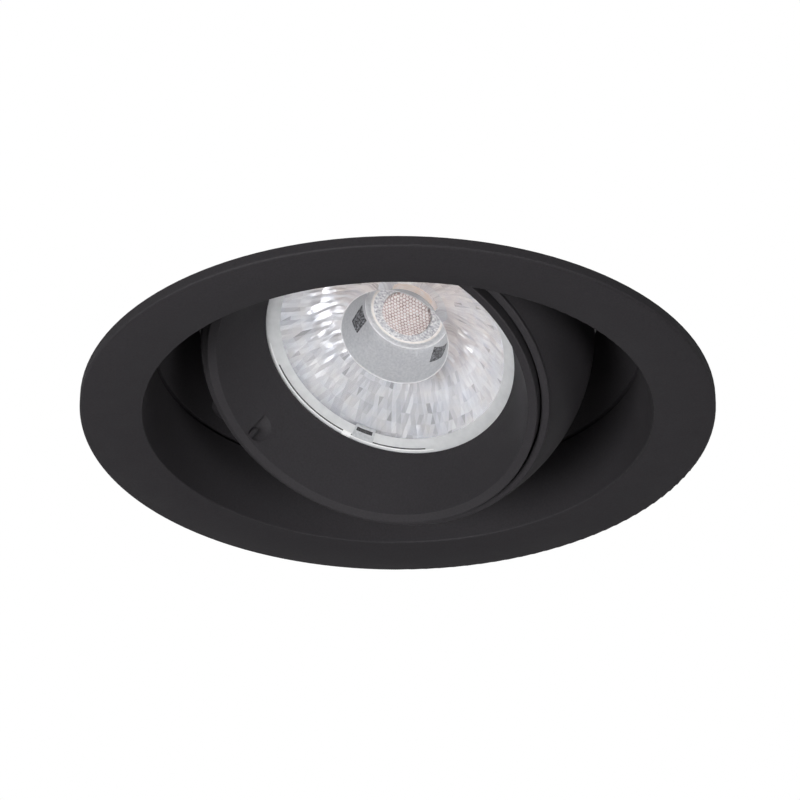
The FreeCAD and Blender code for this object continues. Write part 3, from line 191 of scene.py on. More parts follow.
def powder_coat(name, dark, light, roughness, edge):
    material, tree = new_material(name)
    cloud = grain(tree, CLOUD_SCALE, 3.0)
    hills = grain(tree, HILL_SCALE, 2.0, 0.55)
    tooth = grain(tree, TOOTH_SCALE, 1.0)
    rough = remap(tree, cloud, roughness - 0.05, roughness + 0.05)
    colour = tint(tree, remap(tree, hills, 0.0, 1.0), dark, light)
    height = add(tree, "Math", {0: hills, 1: HILL_SHARE}, operation="MULTIPLY").outputs[0]
    height = add(tree, "Math", {0: tooth, 1: TOOTH_SHARE, 2: height},
                 operation="MULTIPLY_ADD").outputs[0]
    soft_edge = add(tree, "Bevel", {"Radius": edge}, samples=4).outputs["Normal"]
    bump = add(tree, "Bump", {"Strength": 0.35, "Distance": COAT_RELIEF, "Height": height,
                              "Normal": soft_edge}).outputs["Normal"]
    shader = add(tree, "BsdfPrincipled", {"Base Color": colour, "Roughness": rough, "Normal": bump,
                                          "Specular IOR Level": 0.25})
    finish_surface(tree, shader)
    return material


COAT = powder_coat("black_powder_coat", (0.0290, 0.0268, 0.0298), (0.0370, 0.0342, 0.0380),
                   0.64, 0.25 * MM)
SNOOT_COAT = powder_coat("snoot_powder_coat", (0.0290, 0.0268, 0.0298), (0.0365, 0.0338, 0.0374),
                         0.66, 0.18 * MM)
CASTINGS = {"trim_ring": COAT, "swivel_ring": COAT, "eyeball_shell": COAT, "snoot_ring": SNOOT_COAT}
for name, material in CASTINGS.items():
    paint(name, material)
print("powder coat on", len(CASTINGS), "castings")

# %% [markdown]
# **Metal inside the ceiling.** The castings are coated all over, but the heatsink and the small
# hardware above the soffit are bare. The heatsink is blasted aluminium, the spring clips are
# pressed from bright spring strip and the screws are plated steel. All three are metals, so what
# tells them apart is colour and the way the surface spreads light: an even grain on the heatsink,
# and long fine lines on the strip.

# %% Bare metals
def bare_metal(name, dark, light, roughness, scale, stretch=None, depth=0.03 * MM):
    material, tree = new_material(name)
    fine = grain(tree, scale, 3.0, 0.6, stretch)
    slow = grain(tree, 90, 2.0)
    colour = tint(tree, remap(tree, slow, 0.0, 1.0), dark, light)
    rough = remap(tree, fine, roughness - 0.08, roughness + 0.08)
    bump = add(tree, "Bump", {"Strength": 0.4, "Distance": depth, "Height": fine}).outputs["Normal"]
    shader = add(tree, "BsdfPrincipled", {"Base Color": colour, "Roughness": rough, "Normal": bump,
                                          "Metallic": 1.0})
    finish_surface(tree, shader)
    return material


ALUMINIUM = bare_metal("blasted_aluminium", (0.55, 0.56, 0.58), (0.66, 0.67, 0.69), 0.42, 2600)
SPRING_STRIP = bare_metal("bright_spring_strip", (0.52, 0.51, 0.49), (0.64, 0.63, 0.61), 0.28, 900,
                          (1.0, 1.0, 12.0))
PLATED_STEEL = bare_metal("plated_screw_steel", (0.40, 0.40, 0.41), (0.52, 0.52, 0.53), 0.30, 3000)
STRIP_PIECES = ("clip_bracket", "clip_arm", "retainer_tab", "swivel_stop_finger")
STEEL_PIECES = ("clip_pin", "clip_spring", "tilt_screw", "bracket_rivets")
bare = {}
for name in NODES:
    if name in ("heatsink", "heatsink_fins"):
        bare[name] = ALUMINIUM
    elif name.startswith(STRIP_PIECES):
        bare[name] = SPRING_STRIP
    elif name.startswith(STEEL_PIECES) or name.endswith("screws"):
        bare[name] = PLATED_STEEL
for name, material in bare.items():
    paint(name, material)
print("bare metals on", len(bare), "nodes")

# %% [markdown]
# **Plastics, rubber and foam.** The lens holder and the clamp are white, so that stray light isn't
# lost. The gland and the friction washers are black nylon with a faint mould texture, the seals
# are soft silicone and the gasket is closed-cell foam. A cell pattern makes the foam: distance to
# the nearest cell wall, pressed into the surface.

# %% Plastics, rubber and foam
def moulded(name, dark, light, roughness, scale, depth, coat=0.0):
    material, tree = new_material(name)
    texture = grain(tree, scale, 2.0)
    colour = tint(tree, remap(tree, grain(tree, 70, 2.0), 0.0, 1.0), dark, light)
    bump = add(tree, "Bump", {"Strength": 0.3, "Distance": depth,
                              "Height": texture}).outputs["Normal"]
    rough = remap(tree, texture, roughness - 0.04, roughness + 0.04)
    shader = add(tree, "BsdfPrincipled", {"Base Color": colour, "Roughness": rough, "Normal": bump,
                                          "Coat Weight": coat})
    finish_surface(tree, shader)
    return material


def cell_foam(name):
    material, tree = new_material(name)
    place = add(tree, "TexCoord").outputs["Object"]
    cells = add(tree, "TexVoronoi", {"Vector": place, "Scale": 1400.0}, feature="DISTANCE_TO_EDGE")
    walls = remap(tree, cells.outputs["Distance"], 0.0, 1.0, 0.0, 0.25)
    # The cells' hollows are painted darker than their walls: painted shade in the pits.
    colour = tint(tree, walls, (0.040, 0.040, 0.042), (0.016, 0.016, 0.017))
    bump = add(tree, "Bump", {"Strength": 0.8, "Distance": 0.25 * MM, "Height": walls},
               invert=True).outputs["Normal"]
    shader = add(tree, "BsdfPrincipled", {"Base Color": colour, "Roughness": 0.9, "Normal": bump})
    finish_surface(tree, shader)
    return material


WHITE_PLASTIC = moulded("white_moulding", (0.72, 0.72, 0.71), (0.80, 0.80, 0.79),
                        0.42, 2200, 0.03 * MM)
BLACK_NYLON = moulded("black_nylon", (0.012, 0.012, 0.013), (0.022, 0.022, 0.023),
                      0.48, 1600, 0.05 * MM)
SILICONE = moulded("soft_silicone", (0.60, 0.60, 0.58), (0.68, 0.68, 0.66), 0.60, 1200, 0.04 * MM)
CERAMIC = moulded("white_ceramic", (0.78, 0.78, 0.76), (0.84, 0.84, 0.82), 0.35, 4000, 0.01 * MM)
GRAPHITE_PAD = moulded("grey_thermal_pad", (0.30, 0.31, 0.33), (0.38, 0.39, 0.41),
                       0.70, 3500, 0.03 * MM)
PHOSPHOR = moulded("phosphor_gel", (0.86, 0.58, 0.16), (0.92, 0.68, 0.24),
                   0.30, 5200, 0.02 * MM, coat=0.4)
FOAM = cell_foam("closed_cell_foam")
FINISHES = {
    "lens_holder": WHITE_PLASTIC, "led_clamp": WHITE_PLASTIC, "gland_body": BLACK_NYLON,
    "gland_nut": BLACK_NYLON, "friction_washer_a": BLACK_NYLON, "friction_washer_b": BLACK_NYLON,
    "lens_seal": SILICONE, "gland_seal": SILICONE, "led_carrier": CERAMIC, "led_emitter": PHOSPHOR,
    "thermal_pad": GRAPHITE_PAD, "ceiling_gasket": FOAM,
}
for name, material in FINISHES.items():
    paint(name, material)
print("plastics, rubber and foam on", len(FINISHES), "nodes")

# %% [markdown]
# ** The optic.** The lens is one clear moulding. Its outer wall throws light forward by total
# reflection, and that wall is cut into rows of small flat facets, which is what sparkles through the
# dished face. In the middle a tapered well goes down to a small lens with a pimpled floor. The rim
# is left frosted. A smooth turned shape would show none of this, so the profile is turned in a loop:
# points along the wall, columns round it, and no smoothing between the facets.

# %% Optic: sizes from the frame, in the head's own frame
def node_profile(name):
    """Radii and heights of a node's points in the head's frame, in metres."""
    back = HEAD.inverted()
    points = [back @ v.co for v in NODES[name].data.vertices]
    return [(math.hypot(p.x, p.y), p.z) for p in points]


LENS_POINTS = node_profile("lens")
LENS_R = max(r for r, z in LENS_POINTS)
LENS_FRONT = min(z for r, z in LENS_POINTS)
OPTIC_BACK = max(z for r, z in LENS_POINTS)
print("lens radius mm", round(LENS_R / MM, 2), "front", round(LENS_FRONT / MM, 2), "back",
      round(OPTIC_BACK / MM, 2))

# %% [markdown]
# The profile is a list of points: from the middle of the well's floor up the well, over the dished
# face, round the rim and back along the reflecting wall to the lamp's pocket. Each point names the
# finish of the strip that leads up to it. The wall is a parabola, as in a headlamp, because that is
# the curve that sends light from one spot straight out.

# %% Optic: the profile
RIM_T, FROST_W, FROST_DROP = 2.5 * MM, 4.9 * MM, 1.9 * MM
MOUTH_Z, WELL_R, WELL_DEPTH, WELL_FLOOR_R = -3.0 * MM, 15.0 * MM, 12.0 * MM, 12.0 * MM
LIP_W, LIP_H, LIP_PROUD = 0.28 * MM, 0.5 * MM, 0.1 * MM
WARM_FROM, WARM_TO = 0.86, 0.96           # shares of the floor's radius
DISH_BOW = 0.55
RIM_ROUND = 0.5 * MM
WELL_FLOOR_Z = MOUTH_Z + WELL_DEPTH
WALL_TOP_R, WALL_BACK_R = 34.35 * MM, 11.5 * MM
POCKET_R, POCKET_DEPTH, POCKET_DRAFT = 8.6 * MM, 11.0 * MM, 0.6 * MM
FLOOR_RINGS, FACE_RINGS = 5, 8
FACET_ROWS, FACET_COLUMNS, FACET_JITTER = 9, 132, 0.24 * MM


def wall_radius(z):
    """Parabola from the back end to the rim."""
    top = LENS_FRONT + RIM_T
    share = (OPTIC_BACK - z) / (OPTIC_BACK - top)
    return math.sqrt(WALL_BACK_R ** 2 + (WALL_TOP_R ** 2 - WALL_BACK_R ** 2) * share)


def dish_height(r):
    """Face between the frosted rim and the well's mouth, hollow like a shallow bowl."""
    share = (r - WELL_R) / (LENS_R - FROST_W - WELL_R)
    edge = LENS_FRONT + FROST_DROP
    return edge + (MOUTH_Z - edge) * (1 - share) * (1 + DISH_BOW * share)


def well_radius(z):
    """The well narrows evenly from its mouth to its floor."""
    return WELL_R + (WELL_FLOOR_R - WELL_R) * (z - MOUTH_Z) / WELL_DEPTH


def optic_profile():
    """(radius, height, finish) from the middle of the well out, round the back and in again."""
    rows = [(0.0, WELL_FLOOR_Z, "floor")]
    rows += [(WELL_FLOOR_R * k / FLOOR_RINGS, WELL_FLOOR_Z, "floor") for k in range(1, FLOOR_RINGS)]
    rows += [(WELL_FLOOR_R * WARM_FROM, WELL_FLOOR_Z, "warm"),
             (WELL_FLOOR_R * WARM_TO, WELL_FLOOR_Z, "well"),
             (WELL_FLOOR_R, WELL_FLOOR_Z, "lip")]
    rows += [(well_radius(WELL_FLOOR_Z - LIP_H), WELL_FLOOR_Z - LIP_H, "lip")]
    rows += [(WELL_R, MOUTH_Z, "well"), (WELL_R + LIP_W, MOUTH_Z - LIP_PROUD, "lip")]
    start, span = WELL_R + LIP_W, LENS_R - FROST_W - WELL_R - LIP_W
    for k in range(1, FACE_RINGS + 1):
        r = start + span * k / FACE_RINGS
        rows.append((r, dish_height(r), "face"))
    top = LENS_FRONT + RIM_T
    rows += [(LENS_R - RIM_ROUND, LENS_FRONT, "frost"), (LENS_R, LENS_FRONT + RIM_ROUND, "frost"),
             (LENS_R, top, "frost")]
    for k in range(FACET_ROWS + 1):
        z = top + (OPTIC_BACK - top) * k / FACET_ROWS
        rows.append((wall_radius(z), z, "wall"))
    pocket = OPTIC_BACK - POCKET_DEPTH
    rows += [(POCKET_R, OPTIC_BACK, "wall"), (POCKET_R - POCKET_DRAFT, pocket + 1.5 * MM, "pocket"),
             (POCKET_R * 0.55, pocket + 0.5 * MM, "pocket"), (0.0, pocket, "pocket")]
    return rows


print("profile points", len(optic_profile()))

# %% [markdown]
# A clear lens in a dark fitting is hard to light: what it shows is the silver of its own reflecting
# wall. Real facets reflect everything that comes in through the face, and only a closed holder
# behind them would let a renderer find that by itself, at the price of many bounces. So the
# wall's skin is a soft mirror, the face in front of it stays clear plastic with its real bending
# of light, the rim and the well's side are milky, and the lamp end of the well has the faint warm
# pink that the phosphor gives it. A little noise tints the facets bluish or pinkish, because
# the edges of a thick moulding split light like a prism.

# %% Optic: finishes
ACRYLIC_IOR = 1.49


def clear_face(name, roughness, scale, depth):
    """Clear plastic that bends the light; the lamps' shadow rays pass straight through."""
    material, tree = new_material(name)
    bump = add(tree, "Bump", {"Strength": 0.6, "Distance": depth,
                              "Height": grain(tree, scale)}).outputs["Normal"]
    slow = tint(tree, remap(tree, grain(tree, 120), 0.0, 1.0),
                (0.955, 0.965, 0.985), (0.985, 0.98, 0.98))
    clear = add(tree, "BsdfPrincipled", {"Base Color": slow, "Roughness": roughness,
                                         "IOR": ACRYLIC_IOR, "Normal": bump,
                                         "Transmission Weight": 1.0})
    shadow = add(tree, "LightPath").outputs["Is Shadow Ray"]
    through = add(tree, "BsdfTransparent").outputs[0]
    finish_surface(tree, add(tree, "MixShader", {0: shadow, 1: clear.outputs[0], 2: through}))
    return material


def silvered_wall(name):
    """Facets that mirror the light: each keeps its own tone, with a painted reflection on two sides.
    """
    material, tree = new_material(name)
    # The tone holds a painted reflection: facets brighter towards two opposite sides.
    tone = add(tree, "Attribute", attribute_name="facet_tone_and_painted_reflection").outputs["Fac"]
    cool = tint(tree, remap(tree, grain(tree, 200, 2.0), 0.0, 1.0),
                (0.93, 0.95, 1.0), (1.0, 0.98, 0.97))
    colour = add(tree, "VectorMath", {0: cool, 1: tone}, operation="MULTIPLY").outputs[0]
    bump = add(tree, "Bump", {"Strength": 0.5, "Distance": 0.06 * MM,
                              "Height": grain(tree, 900, 3.0, 0.6)}).outputs["Normal"]
    finish_surface(tree, add(tree, "BsdfPrincipled", {"Base Color": colour, "Roughness": 0.11,
                                                      "Normal": bump, "Metallic": 0.56}))
    return material


def milky(name, dark, light, roughness, clear, scale, depth):
    """Plastic between clear and white, such as a frosted rim."""
    material, tree = new_material(name)
    fine = grain(tree, scale, 2.0)
    colour = tint(tree, remap(tree, fine, 0.0, 1.0), dark, light)
    bump = add(tree, "Bump", {"Strength": 0.5, "Distance": depth, "Height": fine}).outputs["Normal"]
    finish_surface(tree, add(tree, "BsdfPrincipled", {"Base Color": colour, "Roughness": roughness,
                                                      "IOR": ACRYLIC_IOR, "Normal": bump,
                                                      "Transmission Weight": clear}))
    return material


OPTIC_FINISHES = {
    "face": clear_face("optic_face", 0.02, 300, 0.02 * MM),
    "wall": silvered_wall("optic_wall"),
    "well": milky("optic_well", (0.50, 0.515, 0.54), (0.64, 0.65, 0.67), 0.30, 0.30, 1500,
                  0.06 * MM),
    "floor": milky("optic_floor", (0.40, 0.40, 0.45), (1.0, 1.0, 1.0), 0.14, 0.25, 1500, 0.60 * MM),
    "frost": milky("optic_frost", (0.66, 0.67, 0.68), (0.75, 0.76, 0.77), 0.42, 0.22, 420,
                   0.05 * MM),
    "lip": milky("optic_lip", (0.72, 0.72, 0.75), (0.84, 0.84, 0.86), 0.20, 0.20, 900, 0.04 * MM),
    "warm": milky("optic_warm_ring", (0.84, 0.79, 0.74), (0.95, 0.91, 0.88), 0.25, 0.10, 700,
                  0.05 * MM),
    "pocket": milky("optic_lamp_end", (0.95, 0.76, 0.62), (0.97, 0.90, 0.88), 0.35, 0.0, 420,
                    0.10 * MM),
}
print("optic finishes", len(OPTIC_FINISHES))

# %% [markdown]
# Now the profile is turned into the moulding. Each row of the wall is set half a column on from the
# row before and split into triangles, and its points stand a little in or out, so that no two
# facets face quite the same way. Each facet also keeps a tone of its own, with a few dark ones strewn
# in. On top of that tone a painted reflection makes the facets brighter towards two opposite sides,
# as in the photograph.

# %% Optic: the turned moulding
# The sides and heading numbers set a painted reflection: facets brighter towards two opposite sides.
TONE_MEAN, PAINTED_REFLECTION_SIDES, PAINTED_REFLECTION_HEADING = 0.85, 0.11, math.radians(40)
COLUMN_LOW, COLUMN_HIGH, FACET_SPREAD = -0.08, 0.06, 0.05
DARK_SHARE, DARK_TONE = 0.025, -0.30
TONE_LEAST, TONE_MOST = 0.2, 1.0
SHARP_FROM = math.radians(28)


def without_repeats(ring):
    """A ring round the axis begins as one point, so a face there has a corner less."""
    return [v for i, v in enumerate(ring) if v not in ring[:i]]


def finished_piece(name, shape, materials, place):
    """Moves a shape to its place and puts it in the scene with its finishes."""
    mesh = bpy.data.meshes.new(name)
    shape.transform(place)
    shape.to_mesh(mesh)
    shape.free()
    for material in materials:
        mesh.materials.append(material)
    piece = bpy.data.objects.new(name, mesh)
    bpy.context.scene.collection.objects.link(piece)
    return piece


def tone_facets(shape, finishes, columns, draw):
    """Gives each facet its tone, with a painted reflection on two sides, kept as a face attribute for
    the wall's finish.
    """
    tones = []
    for c in range(columns):
        # Painted reflection: brighter towards two opposite sides of the wall.
        sides = PAINTED_REFLECTION_SIDES * math.cos(2 * (math.tau * c / columns - PAINTED_REFLECTION_HEADING))
        tones.append(TONE_MEAN + sides + draw.uniform(COLUMN_LOW, COLUMN_HIGH))
    mark = shape.faces.layers.float.new("facet_tone_and_painted_reflection")
    for face in shape.faces:
        face.smooth = finishes[face.material_index] != "wall"
        middle = face.calc_center_median()
        column = int(math.atan2(middle.y, middle.x) / math.tau * columns) % columns
        own = draw.gauss(0.0, FACET_SPREAD) if draw.random() > DARK_SHARE else DARK_TONE
        face[mark] = min(max(tones[column] + own, TONE_LEAST), TONE_MOST)


def turn_profile(name, rows, columns, place):
    """Turns (radius, height, finish) rows round Z; a face takes the finish of its second row."""
    shape, finishes = bmesh.new(), list(OPTIC_FINISHES)
    rings, shift, draw = [], 0.0, random.Random(7)
    for r, z, finish in rows:
        shift += 0.5 if finish == "wall" else 0.0
        if r == 0.0:
            rings.append([shape.verts.new((0, 0, z))])
        else:
            jitter = FACET_JITTER if finish == "wall" and WALL_BACK_R < r < WALL_TOP_R else 0.0
            ring = []
            for c in range(columns):
                a, bulge = math.tau * (c + shift) / columns, r + draw.uniform(-jitter, jitter)
                ring.append(shape.verts.new((bulge * math.cos(a), bulge * math.sin(a), z)))
            rings.append(ring)
    for (below, above), (_, _, finish) in zip(zip(rings, rings[1:]), rows[1:]):
        for c in range(columns):
            d = (c + 1) % columns
            low_a, low_b = below[c % len(below)], below[d % len(below)]
            top_a, top_b = above[c % len(above)], above[d % len(above)]
            if finish == "wall":
                loops = [(low_a, low_b, top_a), (low_b, top_b, top_a)]
            else:
                loops = [(low_a, low_b, top_b, top_a)]
            for loop in loops:
                face = shape.faces.new(without_repeats(loop))
                face.material_index = finishes.index(finish)
    bmesh.ops.recalc_face_normals(shape, faces=shape.faces)
    tone_facets(shape, finishes, columns, draw)
    for edge in shape.edges:
        edge.smooth = edge.calc_face_angle(0) < SHARP_FROM
    return finished_piece(name, shape, OPTIC_FINISHES.values(), place)


optic = turn_profile("optic", optic_profile(), FACET_COLUMNS, HEAD)
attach(optic, "head")
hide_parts("lens")
print("optic facets", len(optic.data.polygons))

# %% [markdown]
# On the well's floor sits the condenser: a low disc covered with lenslets in a hexagonal pattern,
# each one a millimetre wide. They are big enough to be seen one by one, so they are
# real domes. A height for each point of a fine polar grid gives them all in one skin: the
# nearest lenslet centre decides how high the dome stands there.

# %% Optic: the lenslet disc
DISC_R, DISC_T, DISC_CROWN, DISC_SINK = 6.7 * MM, 1.1 * MM, 0.9 * MM, 0.2 * MM
DISC_FLARE = 1.03             # the foot is this much wider than the front
LENSLET_PITCH, LENSLET_RISE = 1.02 * MM, 0.36 * MM
DOME_SHARE, GROOVE_SHARE = 0.58, 0.40     # of the pitch
DISC_RINGS, DISC_COLUMNS = 44, 200


def nearest_lenslet(x, y):
    """Distance to the nearest centre of a hexagonal pattern."""
    best = LENSLET_PITCH
    row_height = LENSLET_PITCH * math.sqrt(3) / 2
    for row in (math.floor(y / row_height), math.floor(y / row_height) + 1):
        offset = LENSLET_PITCH / 2 if row % 2 else 0.0
        column = round((x - offset) / LENSLET_PITCH)
        best = min(best, math.hypot(x - offset - column * LENSLET_PITCH, y - row * row_height))
    return best


def disc_front(r, angle):
    """Point of the disc's front: a low crown with the lenslets' domes on it."""
    x, y = r * math.cos(angle), r * math.sin(angle)
    dome = 1 - (nearest_lenslet(x, y) / (LENSLET_PITCH * DOME_SHARE)) ** 2
    crown = DISC_CROWN * (1 - (r / DISC_R) ** 2)
    return x, y, WELL_FLOOR_Z - DISC_T - crown - LENSLET_RISE * max(dome, 0.0)


def lenslet_disc():
    shape = bmesh.new()
    grid = [[shape.verts.new(disc_front(0.0, 0.0))]]
    for k in range(1, DISC_RINGS + 1):
        r = DISC_R * k / DISC_RINGS
        grid.append([shape.verts.new(disc_front(r, math.tau * c / DISC_COLUMNS))
                     for c in range(DISC_COLUMNS)])
    foot_z = WELL_FLOOR_Z + DISC_SINK
    side = [shape.verts.new((v.co.x * DISC_FLARE, v.co.y * DISC_FLARE, foot_z)) for v in grid[-1]]
    for inner, outer in zip(grid, grid[1:] + [side]):
        for c in range(DISC_COLUMNS):
            d = (c + 1) % DISC_COLUMNS
            ring = [inner[c % len(inner)], outer[c], outer[d], inner[d % len(inner)]]
            shape.faces.new(without_repeats(ring))
    shape.faces.new(side)
    bmesh.ops.recalc_face_normals(shape, faces=shape.faces)
    for face in shape.faces:
        face.smooth = len(face.verts) < 5
        middle = face.calc_center_median()
        in_shaded_groove = nearest_lenslet(middle.x, middle.y) > LENSLET_PITCH * GROOVE_SHARE
        face.material_index = int(in_shaded_groove)
    # The grooves between the domes are painted darker, pink-brown: painted shade between the lenslets.
    finishes = (milky("lenslet_dome", (0.92, 0.82, 0.80), (0.98, 0.96, 0.97), 0.10, 0.15, 400,
                      0.02 * MM),
                milky("lenslet_groove_painted_shade", (0.30, 0.21, 0.20), (0.62, 0.47, 0.43), 0.30, 0.0, 400,
                      0.02 * MM))
    disc = finished_piece("lenslet_disc", shape, finishes, HEAD)
    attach(disc, "head")
    return disc


print("lenslet disc points", len(lenslet_disc().data.vertices))

# %% [markdown]
# Two dark windows show on either side of the well. What they are isn't certain: they are read as
# the feet of the clamp below, seen through the milky plastic, so each is a thin plate that lies on
# the wall, with a slanted outline.

# %% Optic: the windows in the well's side
PLATE_STEPS = 8
WINDOW_LIFT, WINDOW_T = 0.02 * MM, 0.10 * MM
WINDOWS = {    # corners: angle in degrees, height in mm
    "well_window_left": [(39.5, 7.2), (30.0, 2.1), (11.5, 2.8), (13.0, 8.0)],
    "well_window_right": [(229.0, 2.9), (243.0, 1.0), (266.5, 2.8), (262.5, 7.9)],
}


def speckled(name, dark, light, scale):
    material, tree = new_material(name)
    fleck = remap(tree, grain(tree, scale, 3.0, 0.7), 0.0, 1.0, 0.42, 0.66)
    bump = add(tree, "Bump", {"Strength": 0.5, "Distance": 0.1 * MM,
                              "Height": fleck}).outputs["Normal"]
    finish_surface(tree, add(tree, "BsdfPrincipled", {"Base Color": tint(tree, fleck, dark, light),
                                                      "Normal": bump, "Roughness": 0.4}))
    return material


def point_on_wall(corners, u, v, off, radius_at):
    """Point at the shares u and v between four corners, off the wall by a distance."""
    mix = [(1 - u) * (1 - v), u * (1 - v), u * v, (1 - u) * v]
    angle = math.radians(sum(w * c[0] for w, c in zip(mix, corners)))
    z = sum(w * c[1] for w, c in zip(mix, corners)) * MM
    r = radius_at(z) - off
    return r * math.cos(angle), r * math.sin(angle), z


def plate_on_wall(name, corners, material, radius_at):
    """Thin closed plate that lies on a wall of revolution."""
    shape, steps = bmesh.new(), PLATE_STEPS
    layers = [[[shape.verts.new(point_on_wall(corners, i / steps, j / steps, off, radius_at))
                for j in range(steps + 1)] for i in range(steps + 1)]
              for off in (WINDOW_LIFT, WINDOW_LIFT + WINDOW_T)]
    for layer in layers:
        for i in range(steps):
            for j in range(steps):
                shape.faces.new((layer[i][j], layer[i + 1][j], layer[i + 1][j + 1], layer[i][j + 1]))
    edge = [(i, 0) for i in range(steps)] + [(steps, j) for j in range(steps)]
    edge += [(i, steps) for i in range(steps, 0, -1)] + [(0, j) for j in range(steps, 0, -1)]
    low, high = layers
    for (i, j), (k, m) in zip(edge, edge[1:] + edge[:1]):
        shape.faces.new((low[i][j], low[k][m], high[k][m], high[i][j]))
    bmesh.ops.recalc_face_normals(shape, faces=shape.faces)
    plate = finished_piece(name, shape, [material], HEAD)
    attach(plate, "head")
    return plate


WINDOW_DARK = speckled("window_shade", (0.018, 0.019, 0.022), (0.40, 0.41, 0.44), 1700)
for name, corners in WINDOWS.items():
    plate_on_wall(name, corners, WINDOW_DARK, well_radius)
print("windows", len(WINDOWS))

# %% [markdown]
# On the rim sit a small white stub and a lug with a slot. The stub is read as the mark of the
# mould's gate, and the lug as what keys the lens in its holder. The slot isn't cut: a dark strip on
# the lug is painted shade where the slot is. A dark line at the very edge is painted shadow in the
# gap to the holder, and a pale line is a painted highlight on the moulding's corner. All of them
# are one kind of shape, a low block that follows the rim's slope. What differs is how far it goes
# across and round, how proud it stands and how soft its edges are.

# %% Optic: stub, keyed lug and the lines at the rim
BLOCK_SINK = 0.5 * MM
LEAST_STEPS, STEP_DEGREES = 6, 2


def rim_block(name, radii, angles, proud, material, bevel):
    """Block with soft edges on the rim's front; radii in mm, angles in degrees."""
    shape, loops = bmesh.new(), []
    steps = max(LEAST_STEPS, round(abs(angles[1] - angles[0]) / STEP_DEGREES))
    for k in range(steps + 1):
        angle = math.radians(angles[0] + (angles[1] - angles[0]) * k / steps)
        loop = []
        for r in radii:
            share = max(0.0, (LENS_R - r * MM) / FROST_W)
            seat = LENS_FRONT + FROST_DROP * share
            for z in (seat - proud, seat + BLOCK_SINK):
                loop.append(shape.verts.new((r * MM * math.cos(angle), r * MM * math.sin(angle), z)))
        loops.append([loop[0], loop[1], loop[3], loop[2]])
    for one, two in zip(loops, loops[1:]):
        for i in range(4):
            shape.faces.new((one[i], one[(i + 1) % 4], two[(i + 1) % 4], two[i]))
    shape.faces.new(loops[0])
    shape.faces.new(loops[-1])
    bmesh.ops.recalc_face_normals(shape, faces=shape.faces)
    block = finished_piece(name, shape, [material], HEAD)
    soft = block.modifiers.new("soft edges", "BEVEL")
    soft.width, soft.segments, soft.limit_method = bevel, 2, "ANGLE"
    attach(block, "head")
    return block


# The stub's white also makes the painted highlight on the rim's corner.
STUB_WHITE_AND_PAINTED_HIGHLIGHT = milky("gate_stub", (0.90, 0.90, 0.90), (0.96, 0.96, 0.96), 0.35, 0.05, 1500, 0.03 * MM)
LUG_GREY = milky("keyed_lug", (0.50, 0.52, 0.54), (0.66, 0.67, 0.69), 0.30, 0.25, 1500, 0.03 * MM)
# Dark finish for painted shade: the lug's slot and the gap at the rim's edge.
PAINTED_SHADE_DARK = speckled("lug_slot_painted_shade", (0.012, 0.012, 0.013), (0.07, 0.07, 0.08), 3000)
RIM_BLOCKS = [
    # name, radii in mm, angles in degrees, proud by, finish, soft edge
    ("gate_stub", (33.8, 35.6), (323.4, 327.6), 0.25 * MM, STUB_WHITE_AND_PAINTED_HIGHLIGHT, 0.12 * MM),
    ("keyed_lug", (31.0, 34.4), (312.6, 323.0), 0.20 * MM, LUG_GREY, 0.12 * MM),
    ("lug_slot_painted_shade", (31.5, 32.5), (313.8, 322.0), 0.26 * MM, PAINTED_SHADE_DARK, 0.04 * MM),
    # The next two blocks are a painted shadow in the gap to the holder and a painted highlight on the
    # rim's corner.
    ("rim_gap_painted_shadow", (34.05, 34.35), (287.0, 372.0), 0.16 * MM, PAINTED_SHADE_DARK, 0.02 * MM),
    ("rim_edge_painted_highlight", (34.45, 34.7), (283.0, 384.0), 0.16 * MM, STUB_WHITE_AND_PAINTED_HIGHLIGHT, 0.06 * MM),
]
for row in RIM_BLOCKS:
    rim_block(*row)
print("pieces on the rim", len(RIM_BLOCKS))

# %% [markdown]
# **The ceiling and the light.** In the photograph the fitting sits in a white surface that runs out
# of the picture. A round white board with a round hole stands for it, and it is part of the stage,
# not of the object. It is drawn from below only, so that the clips and the heatsink can be looked
# at from above. A pale floor lies well below the light.

# %% Stage: white board, floor and world
FLANGE_R = max(math.hypot(v.co.x, v.co.y) for v in NODES["trim_ring"].data.vertices)
BOARD_HOLE_R, BOARD_R, BOARD_STEPS = FLANGE_R - 1.2 * MM, 1.4, 96
FLOOR_Z, FLOOR_SIZE = -0.75, 8
BOARD_GREY, FLOOR_GREY, WORLD_LEVEL = 0.45, 0.6, 0.08


def seen_by_camera(tree):
    """The light path, and 1 where the camera looks, straight or through glass."""
    path = add(tree, "LightPath").outputs
    seen = add(tree, "Math", {0: path["Is Camera Ray"], 1: path["Is Transmission Ray"]},
               operation="MAXIMUM").outputs[0]
    return path, seen


def white_for_camera(name, plain, from_below=False):
    """White where the camera looks at it; a plain grey for other light."""
    material, tree = new_material(name)
    path, seen = seen_by_camera(tree)
    grey = add(tree, "BsdfDiffuse", {"Color": (plain, plain, plain, 1)})
    white = add(tree, "Emission", {"Color": (1, 1, 1, 1), "Strength": 1.0})
    mixed = add(tree, "MixShader", {0: seen, 1: grey.outputs[0], 2: white.outputs[0]})
    if from_below:
        back = add(tree, "NewGeometry").outputs["Backfacing"]
        lets_through = add(tree, "Math", {0: back, 1: path["Is Shadow Ray"]},
                           operation="SUBTRACT", use_clamp=True).outputs[0]
        clear = add(tree, "BsdfTransparent")
        mixed = add(tree, "MixShader", {0: lets_through, 1: mixed.outputs[0], 2: clear.outputs[0]})
    finish_surface(tree, mixed)
    return material


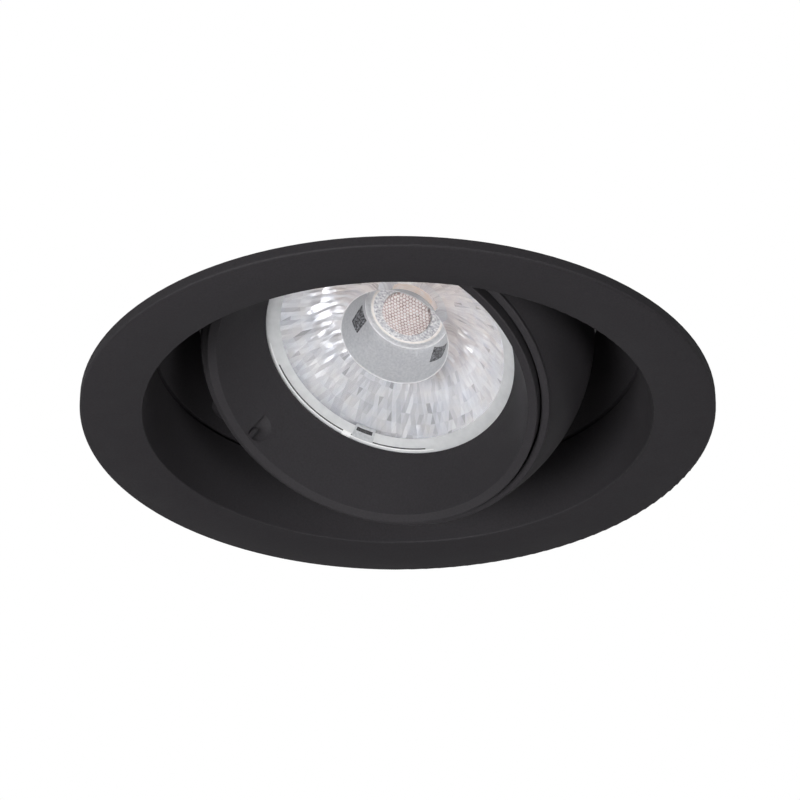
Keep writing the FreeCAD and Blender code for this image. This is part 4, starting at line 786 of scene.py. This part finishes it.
def stage_board():
    """Round board in the plane of the flange's back, with a round hole, facing down."""
    shape = bmesh.new()
    inner, outer = [[shape.verts.new((r * math.cos(math.tau * k / BOARD_STEPS),
                                      r * math.sin(math.tau * k / BOARD_STEPS), 0))
                     for k in range(BOARD_STEPS)] for r in (BOARD_HOLE_R, BOARD_R)]
    for k in range(BOARD_STEPS):
        m = (k + 1) % BOARD_STEPS
        shape.faces.new((inner[k], inner[m], outer[m], outer[k]))
    shape.normal_update()
    for face in shape.faces:
        if face.normal.z > 0:
            face.normal_flip()
    white = white_for_camera("white_board", BOARD_GREY, from_below=True)
    board = finished_piece("soffit_board", shape, [white], Matrix())
    board.visible_diffuse = board.visible_transmission = False
    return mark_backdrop(board)


def stage_floor():
    bpy.ops.mesh.primitive_plane_add(size=FLOOR_SIZE, location=(0, 0, FLOOR_Z))
    floor = bpy.context.object
    floor.name = "floor"
    floor.data.materials.append(white_for_camera("pale_floor", FLOOR_GREY))
    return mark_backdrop(floor)


def white_world(level):
    """White for the camera and in reflections; a weak even light for everything else."""
    world = bpy.data.worlds.new("studio")
    bpy.context.scene.world = world
    world.use_nodes = True
    tree = world.node_tree
    tree.nodes.clear()
    path, seen = seen_by_camera(tree)
    seen = add(tree, "Math", {0: seen, 1: path["Is Glossy Ray"]}, operation="MAXIMUM").outputs[0]
    strength = add(tree, "MapRange", {"Value": seen, "To Min": level, "To Max": 1.0}).outputs["Result"]
    background = add(tree, "Background", {"Color": (1, 1, 1, 1), "Strength": strength})
    output = add(tree, "OutputWorld")
    tree.links.new(background.outputs[0], output.inputs["Surface"])


stage_board()
stage_floor()
white_world(WORLD_LEVEL)
print("stage ready, board hole mm", round(BOARD_HOLE_R / MM, 1))

# %% [markdown]
# Two soft round lamps below the ceiling light what the photograph shows. The key stands in front
# and to the left. The fill on the right is less than half as strong, so the shades on the two sides
# of the ball and the collar stay unequal. Two larger lamps above the board light the clips and the
# heatsink for the views from above.

# %% Lamps
LAMPS = [
    # name, place in metres, size in metres, watts
    ("key_softbox", (-0.49, -0.70, -0.72), 0.6, 16.6),
    ("fill_softbox", (0.61, -0.61, -0.72), 0.6, 6.4),
    ("top_softbox", (0.6, -0.8, 1.6), 1.2, 22.0),
    ("back_softbox", (-0.9, 1.4, 1.1), 1.0, 14.0),
]


def add_lamp(name, place, size, watts):
    lamp = bpy.data.lights.new(name, "AREA")
    lamp.shape, lamp.size, lamp.energy = "DISK", size, watts
    holder = bpy.data.objects.new(name, lamp)
    bpy.context.scene.collection.objects.link(holder)
    holder.location = place
    holder.rotation_mode = "QUATERNION"
    holder.rotation_quaternion = Vector(place).to_track_quat("Z", "Y")
    return holder


for lamp in LAMPS:
    add_lamp(*lamp)
print("lamps", len(LAMPS))

# %% [markdown]
# The last cell sets the plain colour transform and brings the scene up to date.

# %% Finish
bpy.context.scene.view_settings.view_transform = "Standard"
bpy.context.view_layer.update()
